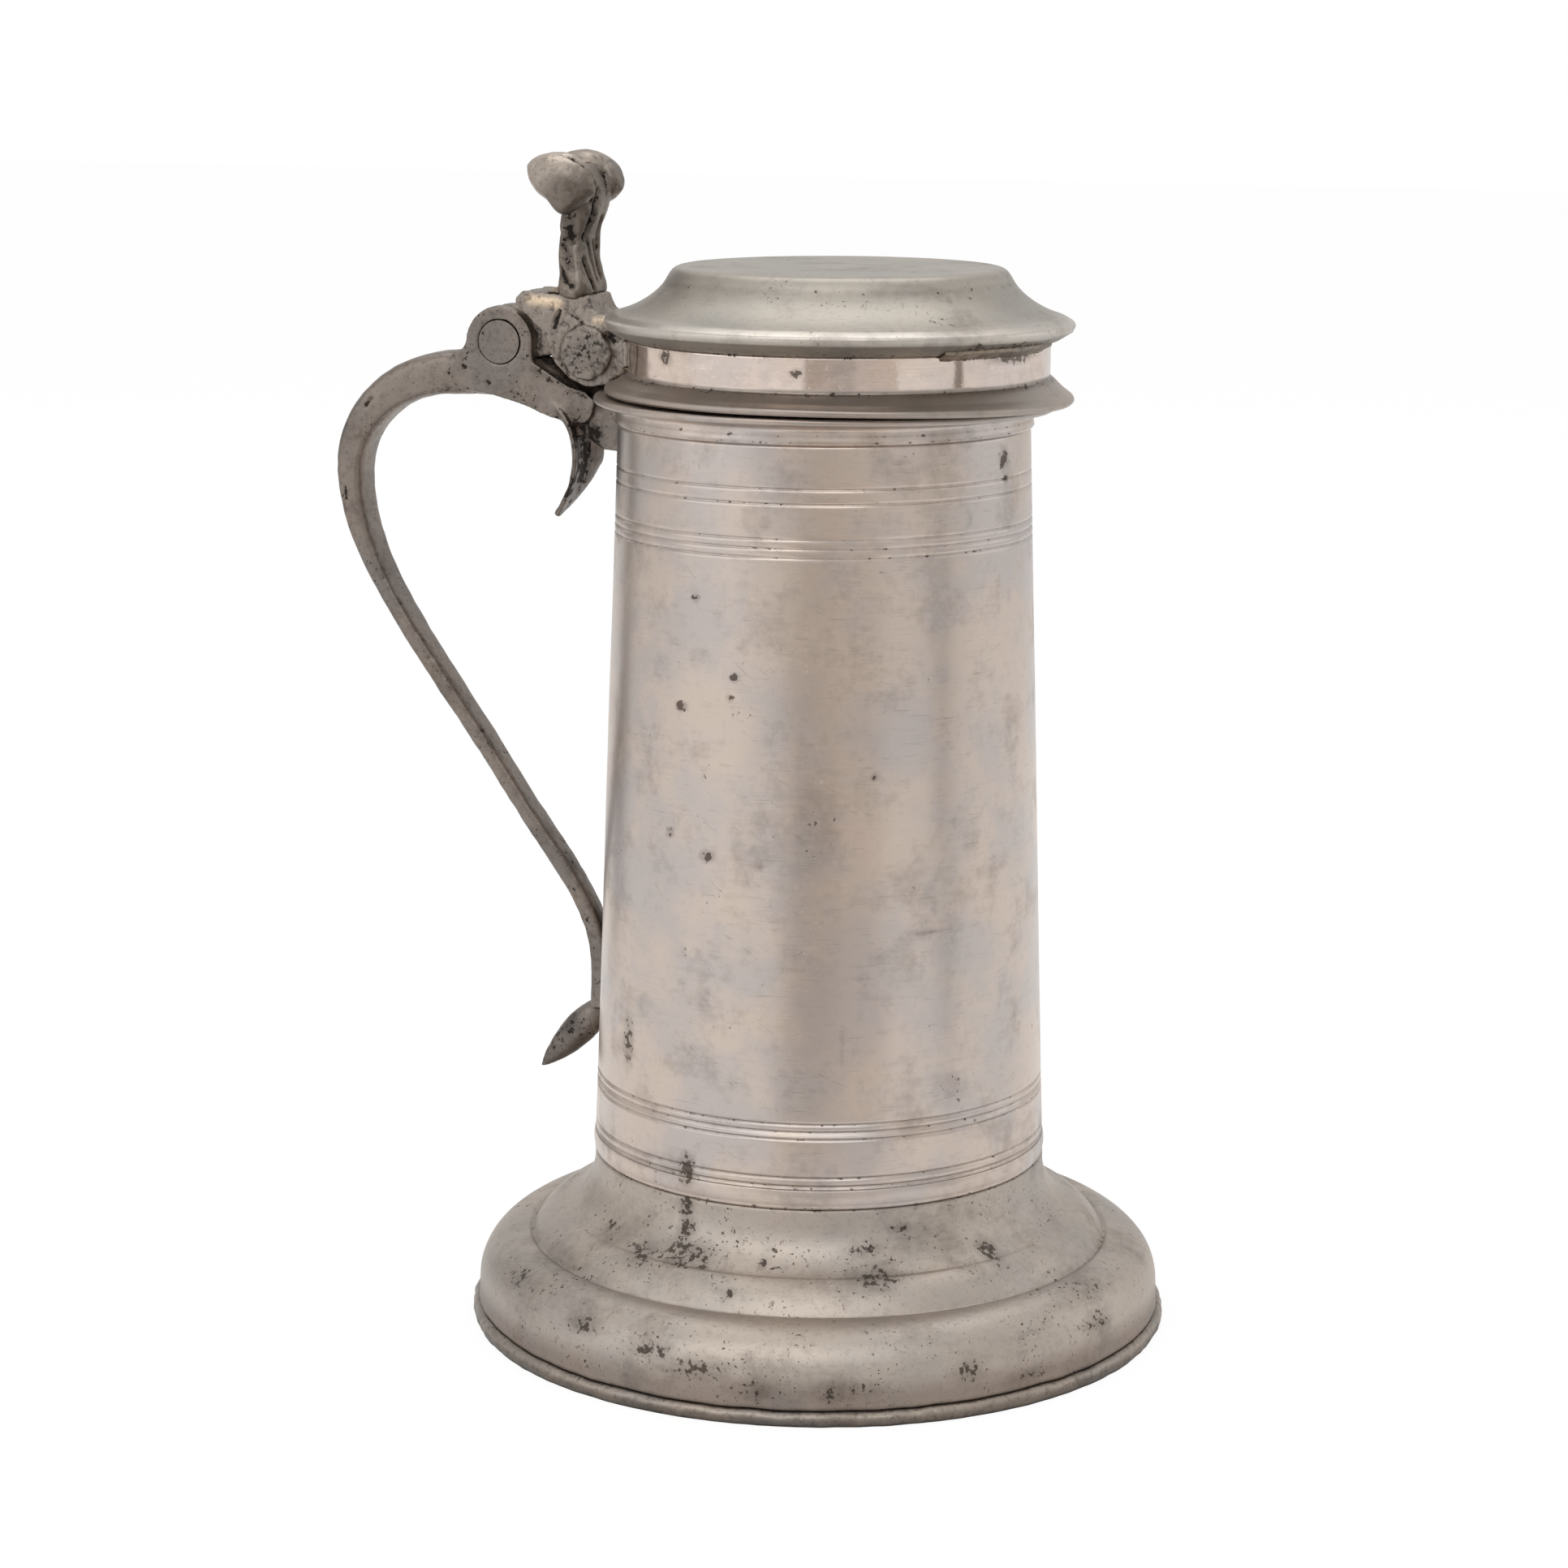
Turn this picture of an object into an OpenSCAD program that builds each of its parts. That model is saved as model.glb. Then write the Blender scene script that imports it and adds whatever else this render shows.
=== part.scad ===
// Lidded pewter flagon: a tapering drum on a broad hollow foot, with a double-brimmed lid,
// a twin-cusp thumbpiece and a strap handle. Millimetres, +Z up, the table is z = 0.
// The handle points along -X and the lid's hinge pin lies along Y.

/* [Drum] */
// Outer radius of the drum under the mouth
drum_top_r = 49; // [44:0.5:54]
// How much wider the drum's radius is at the foot
drum_flare = 6; // [3:0.1:8]
// Height of the joint between the foot and the drum
neck_z = 42; // [38:0.5:48]
// Height of the top of the mouth
mouth_z = 226.4; // [210:0.2:250]
// Thickness of the drum's wall
drum_wall = 2.5; // [1.8:0.1:4]
// Thickness of the plate that closes the drum at the bottom
floor_t = 3; // [2:0.5:5]
// Depth of the incised lines
line_depth = 0.4; // [0.2:0.05:0.8]
// Width of the incised lines
line_w = 0.9; // [0.5:0.1:1.4]
// Middle of the upper pair of lines, below the mouth
upper_pair_drop = 18.3; // [14:0.1:22]
// Spacing of the upper pair of lines
upper_pair_pitch = 3.4; // [2:0.1:4]
// Middle of the upper three lines, below the mouth
upper_triple_drop = 30.1; // [27:0.1:36]
// Spacing of the upper three lines
upper_triple_pitch = 2.1; // [1.5:0.1:2.6]
// Middle of the lower three lines, above the neck
lower_triple_rise = 18.6; // [15:0.1:24]
// Spacing of the lower three lines
lower_triple_pitch = 1.8; // [1.4:0.1:2.4]
// Middle of the lower pair of lines, above the neck
lower_pair_rise = 6.6; // [6:0.1:9]
// Spacing of the lower pair of lines
lower_pair_pitch = 2; // [1.5:0.1:2.6]

/* [Mouth rim] */
// How far the flared lip stands out from the drum
lip_out = 5.8; // [4:0.1:8]
// Height of the rim that is soldered on top of the drum
rim_h = 6.6; // [5.5:0.1:9]
// Thickness of the lip at its edge
lip_t = 1.8; // [1.2:0.1:2.6]

/* [Foot] */
// Radius of the bead at the bottom edge
foot_r = 85.5; // [78:0.5:95]
// Height of the bead
bead_h = 4.2; // [3:0.2:6]
// How far the bead stands out from the foot's wall
bead_step = 1.7; // [1:0.1:3]
// Radius of the round shoulder of the foot
shoulder_r = 12; // [9:0.5:13]
// Height of the foot's upright wall, from the table to the start of the shoulder
wall_h = 9.6; // [8:0.2:12]
// Distance of the foot's incised line in from the shoulder
foot_line_inset = 1; // [0.6:0.1:2]
// Width of the convex roll between that line and the cove
roll_reach = 7.5; // [5:0.1:9]
// Height of the quarter circle that the cove under the drum is part of
cove_h = 12.8; // [11:0.2:14.5]
// Thickness of the foot's wall
foot_wall = 3; // [2:0.1:4]

/* [Lid] */
// How far the worn lid sits forward of the mouth
lid_shift = 3.6; // [0:0.1:4]
// Gap under the closed lid
lid_gap = 0.2; // [0.1:0.05:0.5]
// How much farther both brims reach than the lip
brim_over = 0.8; // [0:0.1:2]
// How far both brims stand out from the upright collar
brim_step = 5.7; // [4.8:0.1:7]
// Height of the collar from the underside of the lower brim to the crown
collar_h = 13.2; // [11.5:0.1:15]
// Height of the crown casting
crown_h = 17; // [16:0.1:19]
// Radius of the flat top of the crown
crown_top_r = 38.5; // [36:0.5:41]
// Thickness of the lid's castings
lid_wall = 2.5; // [2:0.1:3.2]
// Depth of the bezel that keeps the lid over the mouth
bezel_h = 5; // [3:0.5:6]
// Least gap between the bezel and the inside of the mouth
bezel_play = 1.4; // [1.2:0.1:3]

/* [Hinge] */
// Distance of the hinge pin behind the lid's brims
pin_back = 28.7; // [28:0.1:32]
// Height of the hinge pin above the top of the mouth
pin_rise = 10.4; // [10:0.1:12]
// Radius of the hinge pin
pin_r = 5.2; // [3:0.1:5.5]
// Running clearance round the hinge pin
pin_play = 0.05; // [0.02:0.01:0.1]
// Radius of the two ears on the handle
ear_r = 8.6; // [8.4:0.1:9.4]
// Width of the lid's knuckle
knuckle_w = 4.6; // [4:0.1:5.4]
// Clearance on each side of the knuckle
knuckle_play = 0.25; // [0.15:0.05:0.4]
// Radius of the lid's knuckle
knuckle_r = 8.1; // [7.6:0.1:8.3]
// Gap between the ears and the hinge block
ear_gap = 1.3; // [0.8:0.1:1.6]
// Height of the top of the hinge block above the pin
block_rise = 12.5; // [11.5:0.1:14]
// Width of the hinge block behind the ears
block_w = 16; // [14:0.5:18]
// Radius of the rough boss on each side of the block
boss_r = 6.2; // [5:0.1:6.6]
// How far the boss stands out of the block
boss_h = 0.9; // [0.4:0.1:1.6]
// Width of the tab that is soldered to the lid's collar
tab_w = 23; // [20:0.5:28]
// Thickness of that tab
tab_t = 1.8; // [1.2:0.1:2.4]

/* [Handle] */
// Height of the pin above the middle of the handle
pin_drop = 8; // [7.6:0.1:8.4]
// Width of the handle at the ears
handle_w = 12; // [11:0.2:13]
// Width of the handle at its lower end
handle_end_w = 7.4; // [6.5:0.1:9]
// Thickness of the handle under the ears
handle_t = 10.8; // [10:0.2:12]
// Thickness of the long lower limb
limb_t = 4.3; // [3.6:0.1:5.5]
// How far the handle reaches back from the drum's centre line
handle_reach = 125; // [120:0.5:132]
// Height of the mouth above the handle's farthest point
reach_drop = 22.9; // [20:0.1:27]
// Height of the middle of the handle's lower joint
lower_joint_z = 84; // [78:0.5:90]
// Length of the leaf that hangs inside the handle, from the middle of the handle to its tip
leaf_l = 34.3; // [31:0.1:38]
// Width of the leaf
leaf_w = 20; // [16:0.5:21]
// Thickness of the leaf
leaf_t = 2.8; // [2:0.1:3.4]
// Length of the bud at the handle's lower end
bud_l = 22; // [18:0.5:26]
// Greatest radius of the bud
bud_r = 4.1; // [3.2:0.1:4.6]
// Thickness of the solder under the handle's joints
solder_t = 0.9; // [0.5:0.1:1.5]

/* [Thumbpiece] */
// Width of the thumbpiece's stem
stem_w = 16; // [13:0.5:17]
// Thickness of the stem
stem_t = 7.3; // [6:0.1:8]
// Height of the middle of the cusps above the block
stem_h = 27; // [25:0.5:30]
// Distance between the middles of the two cusps
cusp_spacing = 19; // [17:0.5:22]
// Length of each cusp
cusp_l = 18.5; // [15:0.5:20]
// Greatest radius of each cusp
cusp_r = 6.2; // [5:0.1:7]

/* [Hidden] */

$fn = 96;
eps = 0.01;

pewter = [0.66, 0.63, 0.59];
worn_pewter = [0.60, 0.58, 0.53];
dark_pewter = [0.47, 0.45, 0.41];
solder_grey = [0.42, 0.41, 0.38];
warm_solder = [0.68, 0.58, 0.46];

drum_bottom_r = drum_top_r + drum_flare;
drum_top_z = mouth_z - rim_h;
mouth_bore_r = drum_top_r - drum_wall;
lip_r = drum_top_r + lip_out;
brim_r = lip_r + brim_over;
collar_r = brim_r - brim_step;
lid_z = mouth_z + lid_gap;
crown_z = lid_z + collar_h;
top_z = crown_z + crown_h;
pin_x = brim_r - lid_shift + pin_back;
pin_z = mouth_z + pin_rise;
floor_ledge = 3;
floor_play = 0.15;

// The thin gap that is left between soldered pieces with round faces
joint_gap = 0.05;

// ---------------------------------------------------------------- helpers

// Points on an oval arc round [x, z] from angle a0 to angle a1.
function oval_arc(x, z, rx, rz, a0, a1, steps) =
    [for (i = [0:steps])
        let (a = a0 + (a1 - a0) * i / steps)
        [x + rx * cos(a), z + rz * sin(a)]];

// Points on a circular arc round [x, z] from angle a0 to angle a1.
function arc(x, z, r, a0, a1, steps = 10) = oval_arc(x, z, r, r, a0, a1, steps);

// A point on the cubic curve with the control points p.
function bezier(p, t) =
    pow(1 - t, 3) * p[0] + 3 * t * pow(1 - t, 2) * p[1] + 3 * t * t * (1 - t) * p[2] + pow(t, 3) * p[3];

// A cubic curve as points, without its first one.
function curve(p, steps) = [for (i = [1:steps]) bezier(p, i / steps)];

// A number's power that keeps its sign, for rounded-square sections.
function signed_power(v, e) = sign(v) * pow(abs(v), e);

// A revolved solid from a half outline in [radius, height].
module revolve(outline) {
    rotate_extrude()
        polygon(outline);
}

// Part of a revolved solid, span degrees wide, with its middle at the angle at.
module revolve_sector(outline, at, span) {
    rotate([0, 0, at - span / 2])
        rotate_extrude(angle = span)
            polygon(outline);
}

// A side outline in [x, z], w wide and centred on the handle's plane.
module slab(outline, w) {
    rotate([90, 0, 0])
        linear_extrude(w, center = true)
            polygon(outline);
}

// A cylinder along Y through [x, z].
module cross_cylinder(at, r, w) {
    translate([at[0], 0, at[1]])
        rotate([90, 0, 0])
            cylinder(r = r, h = w, center = true);
}

// A smooth bar along points in the handle's plane. Each row of sizes is [share of the way,
// width, thickness], and square_e sets the section, from 1 for an oval towards 0 for a box.
// The edges of the widest section are bent to the left of the way by the length cup.
module bar(points, sizes, square_e = 0.55, sides = 16, cup = 0) {
    n = len(points);
    half_w = max([for (s = sizes) s[1]]) / 2;
    widths = [for (s = sizes) [s[0], s[1]]];
    depths = [for (s = sizes) [s[0], s[2]]];
    rings = [for (i = [0:n - 1])
        let (
            d = points[min(i + 1, n - 1)] - points[max(i - 1, 0)],
            u = d / norm(d),
            w = lookup(i / (n - 1), widths) / 2,
            t = lookup(i / (n - 1), depths) / 2
        )
        [for (k = [0:sides - 1])
            let (
                y = w * signed_power(cos(360 * k / sides), square_e),
                s = t * signed_power(sin(360 * k / sides), square_e) + cup * pow(y / half_w, 2)
            )
            [points[i][0] - u[1] * s, y, points[i][1] + u[0] * s]]];
    walls = [for (i = [0:n - 2], k = [0:sides - 1])
        let (a = i * sides + k, b = i * sides + (k + 1) % sides)
        each [[a, a + sides, b], [b, a + sides, b + sides]]];
    caps = [for (k = [1:sides - 2])
        each [[0, k, k + 1], [(n - 1) * sides, (n - 1) * sides + k + 1, (n - 1) * sides + k]]];
    polyhedron(points = [for (ring = rings) each ring], faces = concat(walls, caps));
}

// ---------------------------------------------------------------- drum and foot

// The drum's outer radius at a height.
function drum_r(z) =
    drum_bottom_r + (drum_top_r - drum_bottom_r) * (z - neck_z) / (drum_top_z - neck_z);

// A small V across the drum's outline.
function drum_line(z) =
    [[drum_r(z), z - line_w / 2], [drum_r(z) - line_depth, z], [drum_r(z), z + line_w / 2]];

// The rounded moulding at the bottom of the drum.
roll_w = 4.4;
roll_rise = 0.35;
roll_gap = 0.2;
function drum_roll(z) =
    [for (i = [0:8]) [drum_r(z) + roll_rise * sin(180 * i / 8), z + roll_w * (i / 8 - 0.5)]];

// The heights of the incised lines, from the bottom up.
line_heights = concat(
    [for (i = [-0.5, 0.5]) neck_z + lower_pair_rise + i * lower_pair_pitch],
    [for (i = [-1:1]) neck_z + lower_triple_rise + i * lower_triple_pitch],
    [for (i = [-1:1]) mouth_z - upper_triple_drop + i * upper_triple_pitch],
    [for (i = [-0.5, 0.5]) mouth_z - upper_pair_drop + i * upper_pair_pitch]);

joint_chamfer = 0.4;

drum_outside = concat(
    [[drum_bottom_r - joint_chamfer, neck_z], [drum_bottom_r, neck_z + joint_chamfer]],
    drum_roll(neck_z + joint_chamfer + roll_w / 2 + roll_gap),
    [for (z = line_heights) each drum_line(z)],
    [[drum_top_r, drum_top_z]]);

module drum() {
    color(pewter)
        revolve(concat(drum_outside, [[mouth_bore_r, drum_top_z], [drum_bottom_r - drum_wall, neck_z]]));
}

// The rim has a small step at its foot, an oval cove under the lip and a rounded edge.
rim_step = 0.4;
lip_cove_w = lip_out - 1.4;
lip_cove_h = 0.4 * lip_cove_w;
lip_cove_z = mouth_z - lip_t - lip_cove_h;
rim_outside = concat(
    [[drum_top_r + 0.5, drum_top_z],
    [drum_top_r + 2 * rim_step, drum_top_z + 0.5],
    [drum_top_r + rim_step, lip_cove_z - 0.2]],
    oval_arc(drum_top_r + rim_step + lip_cove_w, lip_cove_z, lip_cove_w, lip_cove_h, 180, 90, 6),
    arc(lip_r - lip_t / 2, mouth_z - lip_t / 2, lip_t / 2, -90, 60, 6),
    [[lip_r - 2.4, mouth_z]]);

module mouth_rim() {
    color(pewter)
        revolve(concat(rim_outside, [[mouth_bore_r, mouth_z], [mouth_bore_r, drum_top_z]]));
}

module floor_plate() {
    color(dark_pewter)
        translate([0, 0, neck_z])
            cylinder(r = drum_bottom_r - drum_wall - floor_play, h = floor_t);
}

wall_r = foot_r - bead_step;
wall_lean = 0.3;
shoulder_x = wall_r - wall_lean - shoulder_r;
foot_line_r = shoulder_x - foot_line_inset;
foot_line_z = wall_h + shoulder_r - 0.3;
neck_band = 2;

// The cove falls from the neck and ends at this angle, where the roll begins.
cove_end = 248;
cove_end_r = foot_line_r - roll_reach;
cove_w = (cove_end_r - drum_bottom_r) / (1 + cos(cove_end));
cove_x = drum_bottom_r + cove_w;
cove_z = neck_z - neck_band;
cove_end_point = [cove_end_r, cove_z + cove_h * sin(cove_end)];

// The convex roll between the end of the cove and the incised line.
foot_roll = curve([
    cove_end_point,
    cove_end_point + 3.6 * [1, -0.42],
    [foot_line_r - 2, foot_line_z + 2.6],
    [foot_line_r - line_w / 2, foot_line_z + 0.2]], 8);

foot_outside = concat(
    [[wall_r - 0.6, bead_h], [wall_r, bead_h + 0.6]],
    arc(shoulder_x, wall_h, shoulder_r, 0, 90, 14),
    [[foot_line_r + line_w / 2, foot_line_z], [foot_line_r, foot_line_z - line_depth]],
    [for (i = [len(foot_roll) - 1:-1:0]) foot_roll[i]],
    oval_arc(cove_x, cove_z, cove_w, cove_h, cove_end, 180, 12),
    [[drum_bottom_r, neck_z - joint_chamfer], [drum_bottom_r - joint_chamfer, neck_z]]);

neck_bore_r = drum_bottom_r - drum_wall - floor_ledge;
foot_inside = concat(
    [[neck_bore_r, neck_z], [neck_bore_r, cove_z - neck_band]],
    oval_arc(cove_x, cove_z, cove_w + foot_wall, cove_h + foot_wall, 190, cove_end, 8),
    [[foot_line_r, foot_line_z - foot_wall]],
    arc(shoulder_x, wall_h, shoulder_r - foot_wall, 90, 0, 8),
    [[wall_r - foot_wall, bead_h]]);

module foot() {
    color(worn_pewter)
        revolve(concat(foot_outside, foot_inside));
}

ring_w = 6;

module foot_ring() {
    color(dark_pewter)
        revolve(concat(
            [[foot_r - ring_w, 0], [foot_r - 1, 0]],
            arc(foot_r - bead_h / 2, bead_h / 2, bead_h / 2, -53, 66, 8),
            [[foot_r - ring_w, bead_h]]));
}

// The fillet of solder inside the foot, under the edge of the floor plate.
fillet = 2.2;

module foot_solder() {
    color(solder_grey)
        revolve([
            [neck_bore_r, neck_z],
            [neck_bore_r - fillet, neck_z],
            [neck_bore_r - 0.3 * fillet, neck_z - 0.3 * fillet],
            [neck_bore_r, neck_z - fillet]]);
}

// ---------------------------------------------------------------- handle

pin = [-pin_x, pin_z];
side_x = -drum_top_r;
strap_z = pin_z - pin_drop;
bend_t = 7;
limb_share = 0.66;
limb_start = [-handle_reach + bend_t / 2, mouth_z - reach_drop];
limb_end = [-(drum_r(lower_joint_z) + solder_t + limb_t / 2), lower_joint_z];
limb_mid = limb_start + limb_share * (limb_end - limb_start);
limb_lean = atan2(limb_start[1] - limb_end[1], limb_end[0] - limb_start[0]) - 5;
limb_dir = [cos(limb_lean), -sin(limb_lean)];

// The middle line of the strap, from the drum over the ears and down to the lower joint.
root_start = [side_x - 7, mouth_z - 8.5];
top_start = [pin[0] + 4.7, strap_z - 0.6];
top_end = [pin[0] - 11.3, strap_z];
strap_points = concat(
    [root_start],
    curve([root_start, root_start + [1, 4], top_start + [10, -2.6], top_start], 8),
    curve([top_start, top_start + [-6, 0.9], top_end + [5, 0.2], top_end], 4),
    curve([top_end, top_end + [-15, 0.1], limb_start + [0, 16], limb_start], 14),
    curve([limb_start, limb_start - [0, 23.5], limb_mid - 44 * limb_dir, limb_mid], 18),
    curve([limb_mid, limb_mid + 16 * limb_dir, limb_end + [-0.4, 14], limb_end], 10),
    [limb_end + [0.1, -6], limb_end + [-0.1, -12]]);

// [share of the way, width, thickness] along the strap
strap_sizes = [
    [0, handle_w - 4, 6],
    [0.08, handle_w - 1, handle_t - 3.4],
    [0.14, handle_w, handle_t],
    [0.23, handle_w, handle_t],
    [0.34, handle_w, handle_t - 1.6],
    [0.47, handle_w - 0.8, bend_t],
    [0.6, 0.7 * handle_w + 0.2 * handle_end_w, limb_t + 0.4],
    [0.75, 0.2 * handle_w + 0.8 * handle_end_w, limb_t],
    [0.9, handle_end_w, limb_t + 0.3],
    [1, handle_end_w, limb_t + 1]];

// The leaf curls out of the underside of the strap and hangs free behind the drum.
leaf_tip = [side_x - 19.3, strap_z - leaf_l];
leaf_start = [side_x - 22, strap_z - 4.8];
leaf_points = concat(
    [leaf_start],
    curve([leaf_start, leaf_start + [10.5, -5], leaf_tip + [9.8, 11.5], leaf_tip], 16));
leaf_sizes = [
    [0, 0.5 * leaf_w, leaf_t],
    [0.3, 0.8 * leaf_w, leaf_t],
    [0.5, leaf_w, leaf_t],
    [0.62, 0.96 * leaf_w, leaf_t],
    [0.78, 0.68 * leaf_w, 0.9 * leaf_t],
    [1, 0.12 * leaf_w, 0.6 * leaf_t]];
leaf_cup = 2.4;

// The flat-sided part of the handle between the ears and the leaf.
shoulder_outline = concat(
    [pin + [-12, -2.9],
    pin + [-9.6, -1.8],
    pin - [ear_r, 0],
    pin + [ear_r, 0],
    pin + [ear_r, -4.6],
    pin + [17.9, -10.1],
    pin + [22.1, -11.2],
    [side_x - 7, mouth_z - 3.2]],
    curve([[side_x - 7, mouth_z - 3.2], [side_x - 9, mouth_z - 17], [side_x - 20, strap_z - 5.2], pin + [-9, -12]], 10));

// The narrower tenon that joins the root of the handle to the drum.
tenon_w = 8;
tenon_outline = [
    [side_x + 1, mouth_z - 4],
    [side_x - 12, mouth_z - 5],
    [side_x - 11.5, mouth_z - 12],
    [side_x - 6, mouth_z - 15],
    [side_x + 1, mouth_z - 15.4]];

// The bud leaves the strap at a slant, thickest near its root.
bud_at = limb_end + [-1.6, -13.6];
bud_slant = 44;
bud_root = 3;

module bud() {
    translate([bud_at[0], 0, bud_at[1]])
        rotate([0, -180 + bud_slant, 0])
            translate([0, 0, -bud_root])
                revolve(concat(
                    [[0, 0]],
                    [for (s = [0:1 / 14:0.999])
                        [bud_r * pow(sin(180 * (0.1 + 0.9 * pow(s, 0.8))), 0.7), s * (bud_l + bud_root)]],
                    [[0, bud_l + bud_root]]));
}

// The outside of the drum and mouth, as one solid that the handle is cut to.
module body_blank() {
    revolve(concat(
        [[0, 0], [drum_r(0), 0]],
        [[drum_top_r, drum_top_z]],
        rim_outside,
        [[0, mouth_z]]));
}

handle_angle = 180;
solder_edge = 0.2;
pad_margin = 2;
pad_sink = 1;

// A pad of solder on the drum behind the handle, w wide, from z0 up to z1. The cutter for it
// reaches into the drum and is larger by the joint's gap.
module solder_pad(z0, z1, w, cutter) {
    back = cutter ? -pad_sink : joint_gap;
    grow = cutter ? joint_gap : 0;
    edge = solder_edge + grow;
    front = solder_t + grow;
    revolve_sector([
        [drum_r(z0) + back, z0 - grow],
        [drum_r(z0) + edge, z0 - grow],
        [drum_r(z0) + front, z0 + solder_t],
        [drum_r(z1) + front, z1 - solder_t],
        [drum_r(z1) + edge, z1 + grow],
        [drum_r(z1) + back, z1 + grow]], handle_angle, 2 * asin((w / 2 + pad_margin) / drum_r(z0)));
}

upper_pad_z = mouth_z - 17;
upper_pad_h = 9;
lower_pad_h = 32;

module upper_pad(cutter = false) {
    solder_pad(upper_pad_z, upper_pad_z + upper_pad_h, tenon_w, cutter);
}

module lower_pad(cutter = false) {
    solder_pad(lower_joint_z - lower_pad_h / 2, lower_joint_z + lower_pad_h / 2, handle_end_w, cutter);
}

module upper_handle_solder() {
    color(solder_grey)
        upper_pad();
}

module lower_handle_solder() {
    color(solder_grey)
        lower_pad();
}

hinge_slot_r = ear_r + 1;
shoulder_inset = 0.1;

module handle() {
    color(dark_pewter)
        difference() {
            union() {
                bar(strap_points, strap_sizes);
                bar(leaf_points, leaf_sizes, 0.8, 16, leaf_cup);
                slab(shoulder_outline, handle_w - 2 * shoulder_inset);
                slab(tenon_outline, tenon_w);
                cross_cylinder(pin, ear_r, handle_w);
                bud();
            }
            cross_cylinder(pin, hinge_slot_r, knuckle_w + 2 * knuckle_play);
            cross_cylinder(pin, pin_r + pin_play, handle_w + 2);
            body_blank();
            upper_pad(cutter = true);
            lower_pad(cutter = true);
        }
}

module hinge_pin() {
    color(dark_pewter)
        cross_cylinder(pin, pin_r, handle_w);
}

// ---------------------------------------------------------------- lid

// Everything on the lid is drawn round its own centre and moved forward by the shift.
module on_lid() {
    translate([lid_shift, 0, 0])
        children();
}

brim_edge_t = 1.6;
collar_fillet = 0.8;
collar_outside = concat(
    [[brim_r - 3.2, lid_z], [brim_r - 0.5, lid_z + 0.4]],
    arc(brim_r - brim_edge_t / 2, lid_z + 0.5 + brim_edge_t / 2, brim_edge_t / 2, -60, 70, 6),
    [[brim_r - 2.4, lid_z + 2.9], [collar_r + 1.2, lid_z + 4.3]],
    arc(collar_r + collar_fillet, lid_z + 4.6 + collar_fillet, collar_fillet, 250, 180, 4),
    [[collar_r, crown_z]]);

module lid_collar() {
    color(pewter)
        on_lid()
            revolve(concat([[collar_r - lid_wall, lid_z]], collar_outside, [[collar_r - lid_wall, crown_z]]));
}

upper_edge_z = crown_z + 4.2;
crown_cove = curve([
    [brim_r - 0.9, upper_edge_z + 1.5],
    [brim_r - 7, upper_edge_z + 2.6],
    [crown_top_r + 4.2, upper_edge_z + 6.4],
    [crown_top_r + 2.4, top_z - 3]], 10);
crown_outside = concat(
    [[collar_r, crown_z], [collar_r + 1.2, crown_z + 0.4], [brim_r - 0.5, crown_z + 3]],
    arc(brim_r - 1, upper_edge_z, 1, -50, 60, 6),
    crown_cove,
    curve([crown_cove[9], [crown_top_r + 1.3, top_z - 1], [crown_top_r + 0.6, top_z], [crown_top_r - 1.5, top_z]], 5));
crown_inside = [
    [0, top_z - lid_wall],
    [crown_top_r - 1.5, top_z - lid_wall],
    [crown_top_r + 1.4, upper_edge_z + 4.6],
    [collar_r - lid_wall, upper_edge_z - 0.4],
    [collar_r - lid_wall, crown_z]];

module lid_crown() {
    color(worn_pewter)
        on_lid()
            revolve(concat(crown_outside, [[0, top_z]], crown_inside));
}

bezel_r = mouth_bore_r - lid_shift - bezel_play;
bezel_flange_r = collar_r - lid_wall - joint_gap;
bezel_t = 1.8;

module lid_bezel() {
    color(dark_pewter)
        on_lid()
            revolve([
                [bezel_r - bezel_t, mouth_z - bezel_h],
                [bezel_r, mouth_z - bezel_h],
                [bezel_r, lid_z],
                [bezel_flange_r, lid_z],
                [bezel_flange_r, lid_z + bezel_t],
                [bezel_r - bezel_t, lid_z + bezel_t]]);
}

// The outside of the whole lid, as one solid that the hinge block is cut to.
module lid_blank() {
    on_lid()
        revolve(concat([[0, lid_z]], collar_outside, crown_outside, [[0, top_z]]));
}

block_top_z = pin_z + block_rise;
brim_back_x = lid_shift - brim_r;
boss_at = [brim_back_x - 5.2, pin_z - 1.6];
tab_z = lid_z + 5.6;
tab_top_z = crown_z - 1.2;

// The side of the block behind the ears. It runs over the lower brim and under the upper one.
block_outline = [
    pin + [5.4, 9.6],
    [pin[0] + 5.2, block_top_z - 1.6],
    [pin[0] + 7, block_top_z],
    [brim_back_x - 5, block_top_z - 0.6],
    [brim_back_x - 3, crown_z + 5],
    [brim_back_x + 8, crown_z + 3],
    [brim_back_x + 8, lid_z + 2],
    [brim_back_x - 5.4, lid_z + 0.3],
    pin + [18.7, -7.8],
    pin + [14.4, -3.4],
    pin + [12.9, 1.7],
    pin + [9.4, 5.5]];

// The tongue that runs from the block to the knuckle between the ears.
tongue_outline = [
    [pin[0], pin_z + knuckle_r - 0.4],
    [pin[0] + 7, block_top_z - 2],
    pin + [16.7, 6],
    pin + [16.7, -2],
    pin + [5, -4.6]];

module tab() {
    span = 2 * asin(tab_w / 2 / collar_r);
    on_lid()
        revolve_sector([
            [collar_r - eps, tab_z],
            [collar_r + tab_t, tab_z],
            [collar_r + tab_t, tab_top_z],
            [collar_r - eps, tab_top_z]], handle_angle, span);
}

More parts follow.
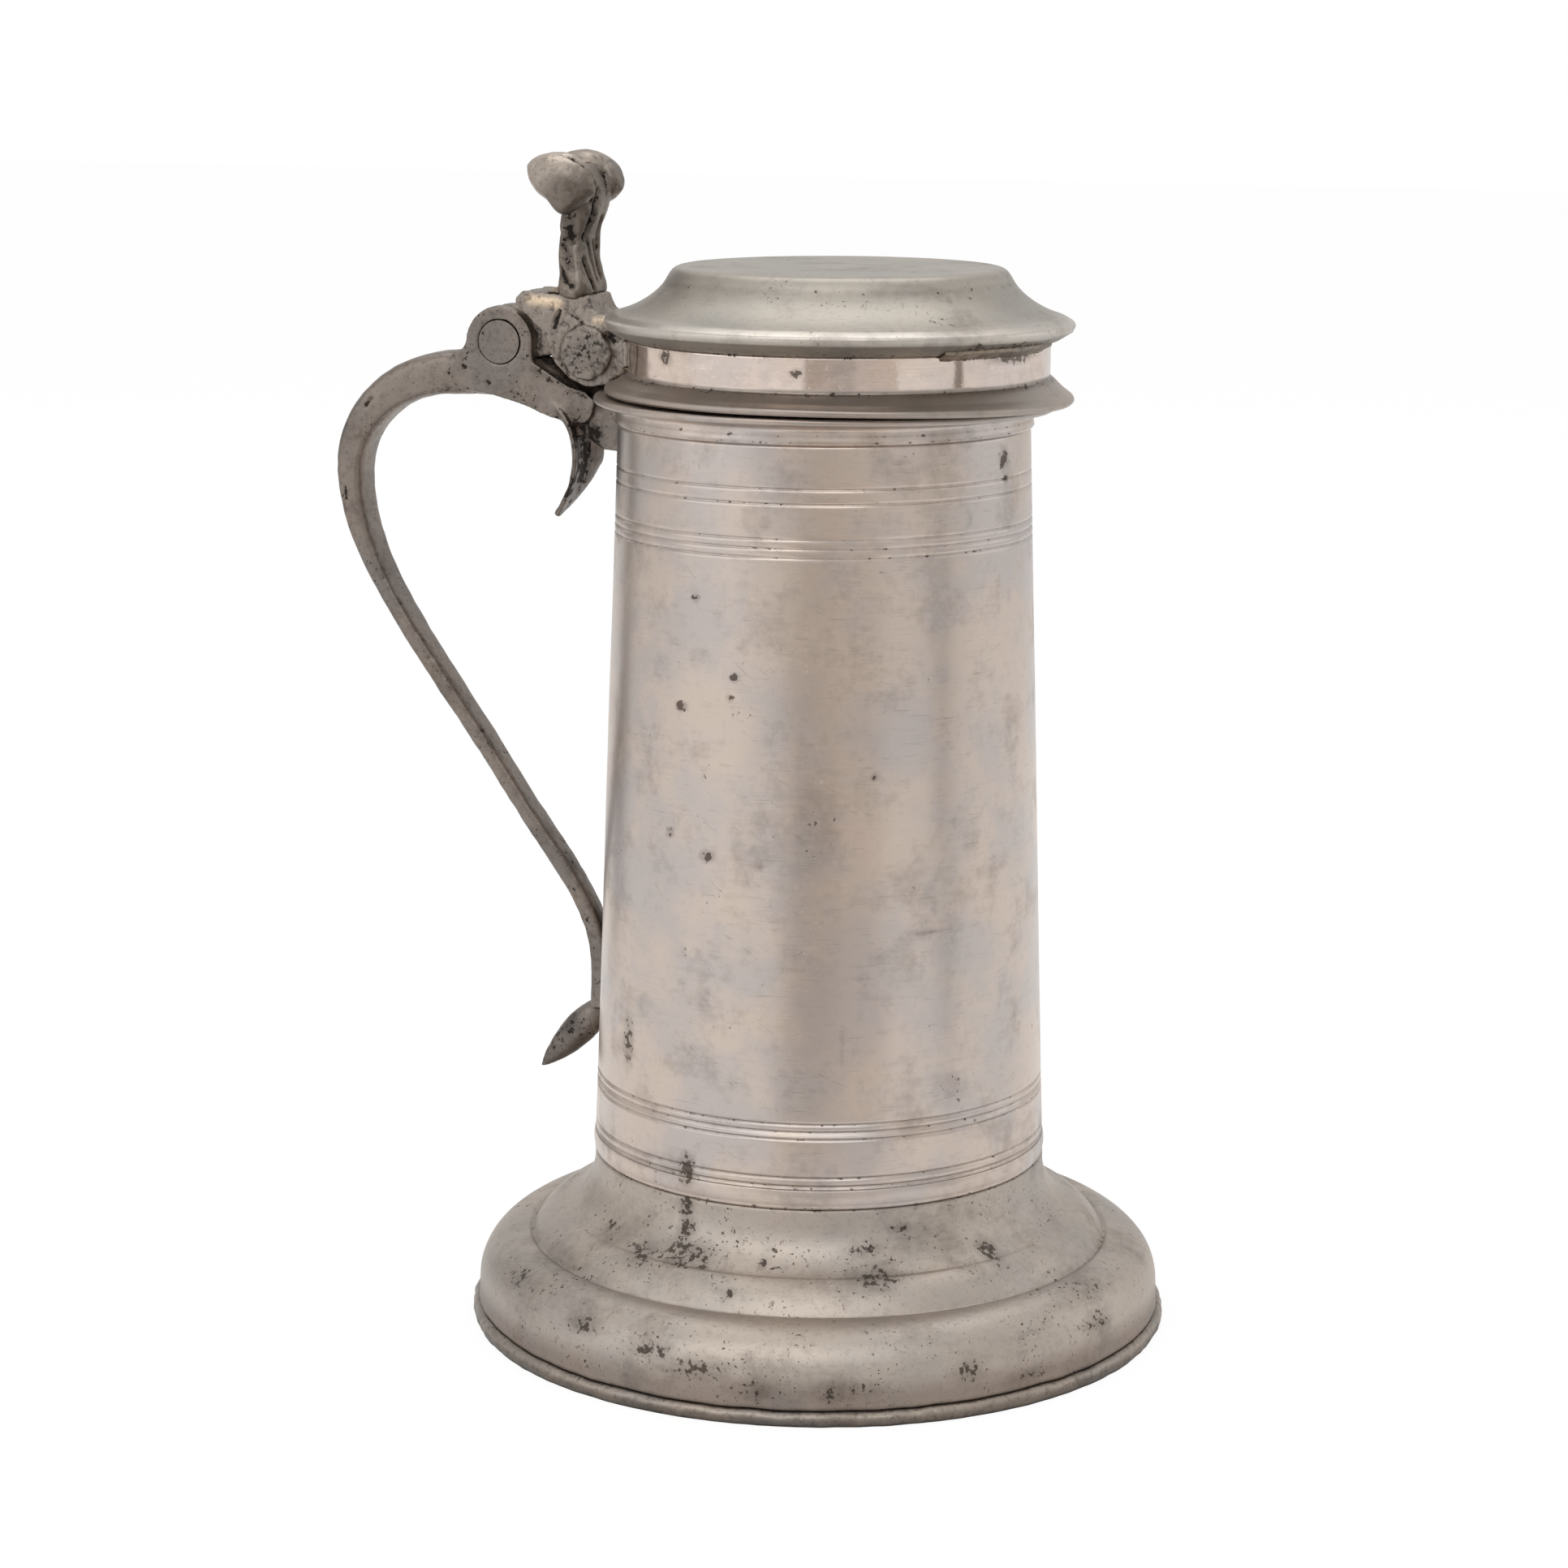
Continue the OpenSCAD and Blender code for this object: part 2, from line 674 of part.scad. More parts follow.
module hinge_block() {
    color(dark_pewter)
        difference() {
            union() {
                difference() {
                    slab(block_outline, block_w);
                    cross_cylinder(pin, ear_r + ear_gap, block_w + 1);
                }
                cross_cylinder(boss_at, boss_r, block_w + 2 * boss_h);
                slab(tongue_outline, knuckle_w);
                cross_cylinder(pin, knuckle_r, knuckle_w);
                tab();
            }
            cross_cylinder(pin, pin_r + pin_play, block_w + 4);
            lid_blank();
        }
}

// The two lumps of solder beside the block, in the corner of the lower brim and the collar.
module hinge_solder() {
    solder_r = 3.6;
    span = 2 * asin((block_w / 2 + 5) / brim_r);
    color(solder_grey)
        difference() {
            on_lid()
                revolve_sector([
                    [collar_r, lid_z + 3],
                    [collar_r + solder_r, lid_z + 3],
                    [collar_r + solder_r, lid_z + 4],
                    [collar_r + 0.5 * solder_r, tab_z],
                    [collar_r, tab_z]], handle_angle, span);
            slab(block_outline, block_w);
            cross_cylinder(boss_at, boss_r, block_w + 2 * boss_h);
            lid_blank();
        }
}

// ---------------------------------------------------------------- thumbpiece

stem_x = pin[0] + 19.5;
cusp_mid = [stem_x - 1.8, block_top_z + stem_h];
stem_points = concat(
    [[stem_x, block_top_z - 0.6]],
    curve([
        [stem_x, block_top_z - 0.6],
        [stem_x - 0.8, block_top_z + 7],
        [stem_x - 1.6, block_top_z + 12],
        [stem_x, block_top_z + 16]], 8),
    curve([
        [stem_x, block_top_z + 16],
        [stem_x + 1.6, block_top_z + 20],
        cusp_mid + [4.2, -3],
        cusp_mid + [1.8, 2]], 8));
stem_sizes = [
    [0, stem_w + 0.6, stem_t + 0.8],
    [0.16, stem_w, stem_t],
    [0.5, stem_w - 1, stem_t - 0.6],
    [0.62, stem_w + 1, stem_t - 0.6],
    [0.85, cusp_spacing, stem_t],
    [1, cusp_spacing - 4, 0.6 * stem_t]];

cusp_rise = 20;

// One egg-shaped cusp, round its own middle. Its blunt point looks back over the handle.
module cusp() {
    rotate([0, cusp_rise - 90, 0])
        translate([0, 0, -cusp_l / 2])
            revolve(concat(
                [[0, 0]],
                [for (s = [1 / 16:1 / 16:0.999]) [cusp_r * pow(sin(180 * pow(s, 0.85)), 0.62), s * cusp_l]],
                [[0, cusp_l]]));
}

module thumbpiece() {
    color(dark_pewter)
        difference() {
            union() {
                bar(stem_points, stem_sizes);
                for (side = [-1, 1])
                    translate([cusp_mid[0], side * cusp_spacing / 2, cusp_mid[1]])
                        cusp();
            }
            slab(block_outline, block_w + 8);
        }
}

// The fillet of solder behind the stem, on top of the block.
module thumbpiece_solder() {
    back_x = stem_x - stem_t / 2;
    color(warm_solder)
        difference() {
            slab([
                [back_x - 4, block_top_z - 0.5],
                [back_x - 1.6, block_top_z + 0.7],
                [back_x + 1.5, block_top_z + 2],
                [back_x + 1.5, block_top_z - 0.5]], stem_w - 2);
            slab(block_outline, block_w + 8);
            bar(stem_points, stem_sizes);
        }
}

// The old repair between the upper brim and the collar, on the side away from the handle.
repair_angle = -25;
repair_span = 42;
repair_h = 1.4;

module brim_repair() {
    color(solder_grey)
        difference() {
            on_lid()
                revolve_sector([
                    [collar_r, crown_z - repair_h],
                    [collar_r + 0.5 * repair_h, crown_z - 0.5 * repair_h],
                    [collar_r + 2 * repair_h, crown_z + 0.3 * repair_h],
                    [collar_r + 2 * repair_h, crown_z + 1.5 * repair_h],
                    [collar_r, crown_z + 1.5 * repair_h]], repair_angle, repair_span);
            lid_blank();
        }
}

// ---------------------------------------------------------------- the nodes

drum();
mouth_rim();
floor_plate();
foot();
foot_ring();
foot_solder();
handle();
upper_handle_solder();
lower_handle_solder();
hinge_pin();
lid_collar();
lid_crown();
lid_bezel();
hinge_block();
hinge_solder();
thumbpiece();
thumbpiece_solder();
brim_repair();
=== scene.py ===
"""A lidded pewter flagon: cast and turned pewter over the CAD frame, on a pale floor.

The flagon's lengths are millimetres, its heights are measured from the table, and angles are
degrees round the drum's axis, from +X towards +Y. The camera looks from about -73 degrees. The
studio round the flagon is built in metres.
"""

import math

import bpy
import numpy as np
from mathutils import Matrix, Vector, noise

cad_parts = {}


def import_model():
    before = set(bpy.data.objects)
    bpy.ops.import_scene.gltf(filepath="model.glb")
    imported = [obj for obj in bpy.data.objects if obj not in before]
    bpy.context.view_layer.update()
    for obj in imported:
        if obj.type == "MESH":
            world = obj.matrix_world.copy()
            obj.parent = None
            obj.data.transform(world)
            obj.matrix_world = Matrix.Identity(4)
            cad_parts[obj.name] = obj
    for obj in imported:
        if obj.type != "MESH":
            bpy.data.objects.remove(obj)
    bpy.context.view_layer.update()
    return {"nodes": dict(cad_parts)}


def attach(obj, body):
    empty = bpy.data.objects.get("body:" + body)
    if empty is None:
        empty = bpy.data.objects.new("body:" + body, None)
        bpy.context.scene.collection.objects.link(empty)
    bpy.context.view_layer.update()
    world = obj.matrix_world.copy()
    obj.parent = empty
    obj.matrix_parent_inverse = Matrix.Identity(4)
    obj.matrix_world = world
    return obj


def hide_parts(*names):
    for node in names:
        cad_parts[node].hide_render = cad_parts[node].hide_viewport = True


MM = 0.001
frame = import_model()

# ---------------------------------------------------------------- sizes shared with the CAD part
# the drum and its incised lines
DRUM_TOP_R = 49.0
DRUM_FLARE = 6.0
DRUM_WALL = 2.5
NECK_Z = 42.0
MOUTH_Z = 226.4
LINE_DEPTH = 0.4
LINE_W = 0.9
JOINT_CHAMFER = 0.4

# the rounded moulding at the bottom of the drum
ROLL_W = 4.4
ROLL_RISE = 0.35
ROLL_GAP = 0.2

# the rim on top of the drum, with its flared lip
RIM_H = 6.6
RIM_STEP = 0.4
LIP_OUT = 5.8
LIP_T = 1.8
LIP_EDGE = 1.4

# the foot, with the bead at its bottom edge
FOOT_R = 85.5
BEAD_H = 4.2
BEAD_STEP = 1.7
RING_W = 6.0
SHOULDER_R = 12.0
WALL_H = 9.6
WALL_LEAN = 0.3
FOOT_WALL = 3.0
FOOT_LINE_INSET = 1.0
FOOT_LINE_DROP = 0.3
ROLL_REACH = 7.5
COVE_H = 12.8
COVE_END = 248
NECK_BAND = 2.0
FLOOR_LEDGE = 3.0

# the lid, with its lower brim on the collar and its upper brim on the crown
LID_SHIFT = 3.6
LID_GAP = 0.2
LID_WALL = 2.5
BRIM_OVER = 0.8
BRIM_STEP = 5.7
BRIM_EDGE_T = 1.6
COLLAR_H = 13.2
COLLAR_FILLET = 0.8
CROWN_H = 17.0
CROWN_TOP_R = 38.5

# the hinge
PIN_X = -80.7
PIN_Z = 236.8
PIN_R = 5.2
EAR_SIDE = 6.0
BLOCK_SIDE = 8.0
BOSS_X = -57.4
BOSS_Z = 235.2
BOSS_R = 6.2
BOSS_H = 0.9

# what follows from these sizes
DRUM_BOTTOM_R = DRUM_TOP_R + DRUM_FLARE
DRUM_TOP_Z = MOUTH_Z - RIM_H
BORE_R = DRUM_TOP_R - DRUM_WALL
ROLL_Z = NECK_Z + JOINT_CHAMFER + ROLL_GAP + ROLL_W / 2
ROLL_TOP_Z = ROLL_Z + ROLL_W / 2
LIP_R = DRUM_TOP_R + LIP_OUT
WALL_R = FOOT_R - BEAD_STEP
SHOULDER_X = WALL_R - WALL_LEAN - SHOULDER_R
FOOT_LINE_R = SHOULDER_X - FOOT_LINE_INSET
FOOT_LINE_Z = WALL_H + SHOULDER_R - FOOT_LINE_DROP
COVE_END_R = FOOT_LINE_R - ROLL_REACH
COVE_W = (COVE_END_R - DRUM_BOTTOM_R) / (1 + math.cos(math.radians(COVE_END)))
COVE_X = DRUM_BOTTOM_R + COVE_W
COVE_Z = NECK_Z - NECK_BAND
BRIM_R = LIP_R + BRIM_OVER
COLLAR_R = BRIM_R - BRIM_STEP
LID_Z = MOUTH_Z + LID_GAP
CROWN_Z = LID_Z + COLLAR_H
TOP_Z = CROWN_Z + CROWN_H
UPPER_EDGE_Z = CROWN_Z + 4.2

# the direction that faces the camera
FRONT = -73.0


# ---------------------------------------------------------------- outlines
# An outline ends this far before its start, because the lathe closes it.
CLOSING_GAP = 0.01
# A turned disc has a pinhole of this radius at its middle.
PINHOLE_R = 0.05


def arc(x, z, rx, rz, start, end, steps):
    """Points on an oval arc round (x, z)."""
    turns = np.radians(np.linspace(start, end, steps + 1))
    return [(x + rx * math.cos(t), z + rz * math.sin(t)) for t in turns]


def curve(a, b, c, d, steps):
    """A cubic curve with the control points a to d."""
    a, b, c, d = (np.array(p, float) for p in (a, b, c, d))
    shares = np.linspace(0, 1, steps + 1)
    return [tuple((1 - t) ** 3 * a + 3 * t * (1 - t) ** 2 * b + 3 * t * t * (1 - t) * c + t ** 3 * d)
            for t in shares]


def fine(outline, step):
    """The outline with extra points, so that no two neighbours are farther apart than step."""
    points = [np.array(outline[0], float)]
    for p in outline[1:]:
        p = np.array(p, float)
        start = points[-1]
        count = max(1, math.ceil(np.linalg.norm(p - start) / step))
        points += [start + (p - start) * i / count for i in range(1, count + 1)]
    return points


def bump_at(x, middle, half_width):
    """1 at the middle, falling smoothly to 0 at half_width away."""
    share = np.clip(1 - np.abs((x - middle) / half_width), 0, 1)
    return share * share * (3 - 2 * share)


def turn_from(angle, middle):
    """The signed way round from the middle to the angle, in degrees."""
    return (angle - middle + 180) % 360 - 180


def around(angle, r, z):
    """The points at these angles, radii and heights."""
    turns = np.radians(angle)
    return np.column_stack((r * np.cos(turns), r * np.sin(turns), z))


def smooth_noise(points, size, seed):
    """Noise from -1 to 1 at each of the points, with lumps of about the given size."""
    offset = Vector((seed * 7.3, seed * 3.1, seed * 5.7))
    return np.array([noise.noise(Vector(p) / size + offset) for p in points])


def unevenness(points, lumps):
    """How far each point stands out. Each of the lumps is (height, size, seed)."""
    return sum(height * smooth_noise(points, size, seed) for height, size, seed in lumps)


# ---------------------------------------------------------------- mesh building
def new_object(name, mesh):
    """An object in the scene that shows this mesh."""
    piece = bpy.data.objects.new(name, mesh)
    bpy.context.scene.collection.objects.link(piece)
    return piece


def paint(mesh, name, values):
    """Stores one number for each vertex, for the material to read."""
    layer = mesh.attributes.new(name, "FLOAT", "POINT")
    layer.data.foreach_set("value", np.ascontiguousarray(values, np.float32))


def shade_smooth(mesh):
    """Shades the faces as one round surface."""
    mesh.polygons.foreach_set("use_smooth", np.ones(len(mesh.polygons), bool))


def lathe(name, body, outline, columns, shape, dull_and_painted_light, grime_and_shade, marks=(), centre_x=0):
    """A closed turned piece. shape(angle, r, z) gives the worn radius and height of each point, and
    the two functions after it give how matt the surface is and how dirty, at (r, z); on some pieces
    these also carry painted light and painted shade. marks are stains on it."""
    outline = np.array(outline)
    rows = len(outline)
    angle = np.repeat(np.linspace(-180, 180, columns, endpoint=False), rows)
    r = np.tile(outline[:, 0], columns)
    z = np.tile(outline[:, 1], columns)
    points = around(angle, *shape(angle, r, z)) + (centre_x, 0, 0)
    column, row = np.meshgrid(np.arange(columns), np.arange(rows), indexing="ij")
    beside = (column + 1) % columns * rows
    above = (row + 1) % rows
    faces = np.stack((column * rows + row, beside + row, beside + above, column * rows + above), -1)
    mesh = bpy.data.meshes.new(name)
    mesh.from_pydata((points * MM).tolist(), [], faces.reshape(-1, 4).tolist())
    shade_smooth(mesh)
    paint(mesh, "dull_and_painted_light", dull_and_painted_light(r, z))
    paint(mesh, "wear_and_shade", np.maximum(stains(angle, r, z, marks), grime_and_shade(r, z)))
    mesh.update()
    piece = new_object(name, mesh)
    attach(piece, body)
    return piece


def stains(angle, r, z, marks):
    """How stained each point is. A mark is (angle, height, half width, half height, strength)."""
    total = np.zeros(len(z))
    for at, height, half_w, half_h, strength in marks:
        across = np.radians(turn_from(angle, at)) * r / half_w
        up = (z - height) / half_h
        total = np.maximum(total, strength * np.clip(1.25 - np.hypot(across, up), 0, 1))
    return total


def from_path(points, path):
    """How far each point is from a path of straight pieces, or from the one spot of a short path."""
    near = np.full(len(points), np.inf)
    for a, b in zip(path, path[1:] or path):
        a, b = np.array(a, float), np.array(b, float)
        share = np.clip((points - a) @ (b - a) / max((b - a) @ (b - a), 0.001), 0, 1)
        near = np.minimum(near, np.linalg.norm(points - a - share[:, None] * (b - a), axis=1))
    return near


def voxel_copy(node, name, cell, soften):
    """A copy of a CAD solid with an even mesh of this cell size and softened edges."""
    copy = new_object(name, frame["nodes"][node].data.copy())
    remesh = copy.modifiers.new("remesh", "REMESH")
    remesh.mode = "VOXEL"
    remesh.voxel_size = cell * MM
    smooth = copy.modifiers.new("soften", "SMOOTH")
    smooth.iterations = soften
    graph = bpy.context.evaluated_depsgraph_get()
    mesh = bpy.data.meshes.new_from_object(copy.evaluated_get(graph))
    copy.modifiers.clear()
    copy.data = mesh
    mesh.materials.clear()
    return copy


def vectors(rows, name):
    """The three numbers that each of a mesh's rows holds under this name."""
    values = np.empty(len(rows) * 3)
    rows.foreach_get(name, values)
    return values.reshape(-1, 3)


def recast(node, name, body, cell, soften, lumps, marks=(), wear_and_shade=0.0):
    """A copy of a CAD solid with soft edges and an uneven cast surface. lumps are (height, size,
    seed) of its noise. A mark is (path, half width, depth, stain, shine); on some marks the stain is
    painted shade."""
    rough = voxel_copy(node, name, cell, soften)
    mesh = rough.data
    points = vectors(mesh.vertices, "co") / MM
    normals = vectors(mesh.vertex_normals, "vector")
    shift = unevenness(points, lumps)
    dirt_and_shade = np.full(len(points), wear_and_shade)
    dull_and_painted_light = np.ones(len(points))
    for path, half_width, depth, stain_and_shade, shine in marks:
        share = bump_at(from_path(points, path), 0, half_width)
        shift = shift - depth * share
        dirt_and_shade = np.maximum(dirt_and_shade, stain_and_shade * share)
        dull_and_painted_light = np.minimum(dull_and_painted_light, 1 - shine * share)
    points += normals * shift[:, None]
    mesh.vertices.foreach_set("co", (points * MM).ravel())
    shade_smooth(mesh)
    paint(mesh, "wear_and_shade", dirt_and_shade)
    paint(mesh, "dull_and_painted_light", dull_and_painted_light)
    mesh.update()
    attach(rough, body)
    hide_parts(node)
    return rough


# ---------------------------------------------------------------- drum
# the upper group of three lines, and where and how far it is worn away
WORN_LINES = (MOUTH_Z - 32.2, MOUTH_Z - 30.1, MOUTH_Z - 28.0)
WORN_AT = -68
WORN_SPAN = 26
WORN_SHARE = 0.85

DRUM_LINES = (
    # heights, from the foot up to the mouth
    NECK_Z + 5.6,
    NECK_Z + 7.6,
    NECK_Z + 16.8,
    NECK_Z + 18.6,
    NECK_Z + 20.4,
    *WORN_LINES,
    MOUTH_Z - 20.0,
    MOUTH_Z - 16.6,
)
DRUM_GROOVES = (*DRUM_LINES, NECK_Z + JOINT_CHAMFER, ROLL_TOP_Z)
DRUM_DENTS = ((0.10, 34, 1), (0.035, 11, 2))
DRUM_MARKS = (
    # angle, height, half width, half height, strength
    (-108, 183.7, 1.6, 1.2, 1.0),
    (-96, 166.3, 1.4, 1.4, 0.9),
    (-97, 161.5, 1.2, 1.2, 0.8),
    (-112, 158.2, 2.2, 1.4, 1.0),
    (-59, 144.0, 1.2, 1.2, 0.8),
    (-115, 128.3, 1.6, 1.6, 1.0),
    (-103, 124.1, 2.6, 1.8, 1.0),
    (-88, 122.9, 1.2, 1.2, 0.7),
    (-74, 134.4, 9.0, 16.0, 0.35),
    (-38, 69.1, 8.0, 6.0, 0.4),
    (-130, 74.9, 3.0, 9.0, 0.7),
    (-14, 209.8, 1.6, 1.0, 1.0),
    (-44, 106.7, 6.0, 0.7, 0.6),
    (-67, 80.1, 1.0, 8.0, 0.4),
    (-15, 214.8, 3.0, 3.4, 0.8),
    (-107, 48.8, 3.0, 5.0, 0.9),
)


def drum_r(z):
    """The drum's outer radius at a height."""
    return DRUM_BOTTOM_R - DRUM_FLARE * (z - NECK_Z) / (DRUM_TOP_Z - NECK_Z)


def drum_shape(angle, r, z):
    """The outside is slightly dented, and the upper group of three lines is worn at the front."""
    outside = r > drum_r(z) - 1
    worn = WORN_SHARE * bump_at(turn_from(angle, WORN_AT), 0, WORN_SPAN)
    for height in DRUM_LINES:
        depth = LINE_DEPTH * (1 - worn) if height in WORN_LINES else LINE_DEPTH
        across = np.clip(1 - np.abs(z - height) / (LINE_W / 2), 0, 1)
        r = np.where(outside, r - depth * across, r)
    return np.where(outside, r + unevenness(around(angle, r, z), DRUM_DENTS), r), z


def drum_dull(r, z):
    """The inside is matt."""
    return np.where(r < drum_r(z) - 1, 1.0, 0.0)


def drum_grime(r, z):
    """Dirt lies in the lines and at both edges of the moulding."""
    return 0.42 * sum(bump_at(z, height, 0.5 * LINE_W) for height in DRUM_GROOVES)


def build_drum():
    """The tapering drum, with rows of points at its edges and across each line."""
    roll = [(drum_r(ROLL_Z) + ROLL_RISE * math.sin(math.pi * i / 8), ROLL_Z + ROLL_W * (i / 8 - 0.5))
            for i in range(9)]
    heights = set(np.arange(ROLL_TOP_Z + 0.8, DRUM_TOP_Z - 0.3, 1.0))
    for line in DRUM_LINES:
        heights = {z for z in heights if abs(z - line) > LINE_W}
        heights |= {line + LINE_W * share for share in (-1, -0.5, -0.25, 0, 0.25, 0.5, 1)}
    outside = [(DRUM_BOTTOM_R - JOINT_CHAMFER, NECK_Z), (DRUM_BOTTOM_R, NECK_Z + JOINT_CHAMFER)]
    outside += roll + [(drum_r(z), z) for z in sorted(heights)] + [(DRUM_TOP_R, DRUM_TOP_Z)]
    inside = fine([(BORE_R, DRUM_TOP_Z), (DRUM_BOTTOM_R - DRUM_WALL, NECK_Z)], 6)
    piece = lathe("drum_skin", "flagon", outside + inside, 360, drum_shape, drum_dull, drum_grime,
                  DRUM_MARKS)
    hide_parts("drum")
    return piece


# ---------------------------------------------------------------- mouth rim
DROOP_AT = 5
DROOP_SPAN = 95
LIP_DROOP = 1.0
LOWER_BRIM_DROOP = 1.8
UPPER_BRIM_DROOP = 0.5


def droop(angle):
    """How far the worn right side of the lip and lid hangs down, as a share of its most."""
    return bump_at(turn_from(angle, DROOP_AT), 0, DROOP_SPAN)


def rim_shape(angle, r, z):
    """The lip hangs down on the right."""
    out = np.clip((r - DRUM_TOP_R) / LIP_OUT, 0, 1)
    return r, z - LIP_DROOP * out * droop(angle)


def rim_dull_and_sheen(r, z):
    """The lip's edge and top are duller than the cove under them, which is made polished and pale as
    painted light.
    """
    return np.where(z > MOUTH_Z - LIP_T - 0.4, 0.6, 0.0)


def rim_grime(r, z):
    """Dirt lies in two fine lines at the bottom of the rim."""
    joint = bump_at(z, DRUM_TOP_Z + 0.6, 0.6)
    step = bump_at(z, DRUM_TOP_Z + 2.2, 0.5)
    return 0.5 * np.maximum(joint, step)


def build_rim():
    """The rim, with a small step at its foot, an oval cove under the lip and a rounded edge."""
    cove_w = LIP_OUT - LIP_EDGE
    cove_h = 0.4 * cove_w
    cove_z = MOUTH_Z - LIP_T - cove_h
    edge_r = LIP_T / 2
    outline = [(DRUM_TOP_R + 0.5, DRUM_TOP_Z), (DRUM_TOP_R + 2 * RIM_STEP, DRUM_TOP_Z + 0.5),
               (DRUM_TOP_R + RIM_STEP, cove_z - 0.2)]
    outline += arc(DRUM_TOP_R + RIM_STEP + cove_w, cove_z, cove_w, cove_h, 180, 90, 8)
    outline += arc(LIP_R - edge_r, MOUTH_Z - edge_r, edge_r, edge_r, -90, 60, 8)
    outline += [(LIP_R - 2.4, MOUTH_Z), (BORE_R, MOUTH_Z), (BORE_R, DRUM_TOP_Z)]
    piece = lathe("rim_skin", "flagon", fine(outline, 0.8), 300, rim_shape, rim_dull_and_sheen, rim_grime)
    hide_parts("mouth_rim")
    return piece


# ---------------------------------------------------------------- foot
SEAM_TOP_Z = 9.0
SEAM_LIFT = 0.15
SEAM_RIPPLE = ((0.25, 7, 3),)
# how the seam falls in front and rises on the left: direction, half span, rise
SEAM_WAVES = ((FRONT, 75, -0.7), (-165, 60, 0.5))
FOOT_DENTS = ((0.09, 26, 4), (0.05, 8, 5))
FOOT_MARKS = (
    # angle, height, half width, half height, strength
    (-107, 40.0, 2.6, 4.0, 0.85),
    (-106, 34.0, 3.6, 5.0, 0.75),
    (-104, 30.0, 11.0, 4.2, 0.68),
    (-114, 28.5, 9.0, 3.4, 0.6),
    (-128, 30.0, 8.0, 3.4, 0.5),
    (-85, 30.0, 1.2, 1.2, 0.9),
    (-90, 25.0, 1.6, 1.2, 0.9),
    (-60, 28.0, 8.0, 3.2, 0.64),
    (-62, 33.0, 7.0, 2.4, 0.55),
    (-31, 29.7, 3.8, 3.8, 0.72),
    (-52, 37.0, 4.0, 1.6, 0.6),
    (-127, 21.0, 22.0, 4.5, 0.40),
    (-18, 20.0, 18.0, 4.5, 0.42),
    (-45, 33.0, 9.0, 5.0, 0.38),
    (-118, 33.0, 9.0, 6.0, 0.38),
    (-136, 18.5, 12.0, 3.0, 0.6),
    (-114, 16.0, 8.0, 3.2, 0.62),
    (-100, 14.5, 8.0, 3.0, 0.6),
    (-92, 11.5, 11.0, 3.8, 0.64),
    (-82, 8.5, 12.0, 3.6, 0.55),
    (-68, 8.5, 12.0, 3.0, 0.52),
    (-48, 10.7, 6.0, 3.8, 0.66),
    (-36, 7.0, 9.0, 2.4, 0.55),
    (-20, 14.0, 8.0, 4.0, 0.55),
)
RING_ROUGHNESS = ((0.34, 3.4, 6), (0.12, 12, 7))
RING_WORN_BACK = 0.22


def seam_height(angle):
    """Height of the broken seam above the bead: thin in front, thicker towards the handle."""
    waves = sum(rise * bump_at(turn_from(angle, at), 0, span) for at, span, rise in SEAM_WAVES)
    ripple = unevenness(around(angle, FOOT_R, 0 * angle), SEAM_RIPPLE)
    return BEAD_H + waves + ripple


def foot_shape(angle, r, z):
    """The foot's lower edge follows the seam, and its surface is slightly dented."""
    low = np.clip((SEAM_TOP_Z - z) / (SEAM_TOP_Z - BEAD_H), 0, 1)
    z = z + low * (seam_height(angle) + SEAM_LIFT - BEAD_H)
    return r + unevenness(around(angle, r, z), FOOT_DENTS), z


def foot_dull_and_shade(r, z):
    """The foot is duller and darker towards the table, and the darker colour is painted shade."""
    return np.clip((13 - z) / 6, 0.2, 1)


def foot_grime(r, z):
    """Dirt lies in the incised line, in the joint under the drum and above the seam."""
    line = bump_at(r, FOOT_LINE_R, 0.7) * (z > FOOT_LINE_Z - 1)
    joint = bump_at(z, NECK_Z, 0.8)
    seam = bump_at(z, BEAD_H, 1.4)
    return np.maximum(0.45 * line, np.maximum(0.5 * joint, 0.35 * seam))


def foot_outside():
    """The outline from the seam up the wall and over the line, the roll and the cove to the neck."""
    x, z = COVE_END_R, COVE_Z + COVE_H * math.sin(math.radians(COVE_END))
    roll = curve((x, z), (x + 3.6, z - 1.5), (FOOT_LINE_R - 2, FOOT_LINE_Z + 2.6),
                 (FOOT_LINE_R - LINE_W / 2, FOOT_LINE_Z + 0.2), 10)
    outside = [(WALL_R - 0.2, BEAD_H), (WALL_R, BEAD_H + 0.3)]
    outside += arc(SHOULDER_X, WALL_H, SHOULDER_R, SHOULDER_R, 0, 90, 20)
    outside += [(FOOT_LINE_R + LINE_W / 2, FOOT_LINE_Z), (FOOT_LINE_R, FOOT_LINE_Z - LINE_DEPTH)]
    outside += roll[::-1] + arc(COVE_X, COVE_Z, COVE_W, COVE_H, COVE_END, 180, 16)
    outside += [(DRUM_BOTTOM_R, NECK_Z - JOINT_CHAMFER), (DRUM_BOTTOM_R - JOINT_CHAMFER, NECK_Z)]
    return outside


def foot_inside():
    """The outline from the neck down the back of the cove and the shoulder to the seam."""
    neck_bore = DRUM_BOTTOM_R - DRUM_WALL - FLOOR_LEDGE
    inner_r = SHOULDER_R - FOOT_WALL
    inside = [(neck_bore, NECK_Z), (neck_bore, COVE_Z - NECK_BAND)]
    inside += arc(COVE_X, COVE_Z, COVE_W + FOOT_WALL, COVE_H + FOOT_WALL, 190, COVE_END, 8)
    inside += [(FOOT_LINE_R, FOOT_LINE_Z - FOOT_WALL)]
    inside += arc(SHOULDER_X, WALL_H, inner_r, inner_r, 90, 0, 8)
    inside += [(WALL_R - FOOT_WALL, BEAD_H)]
    return inside


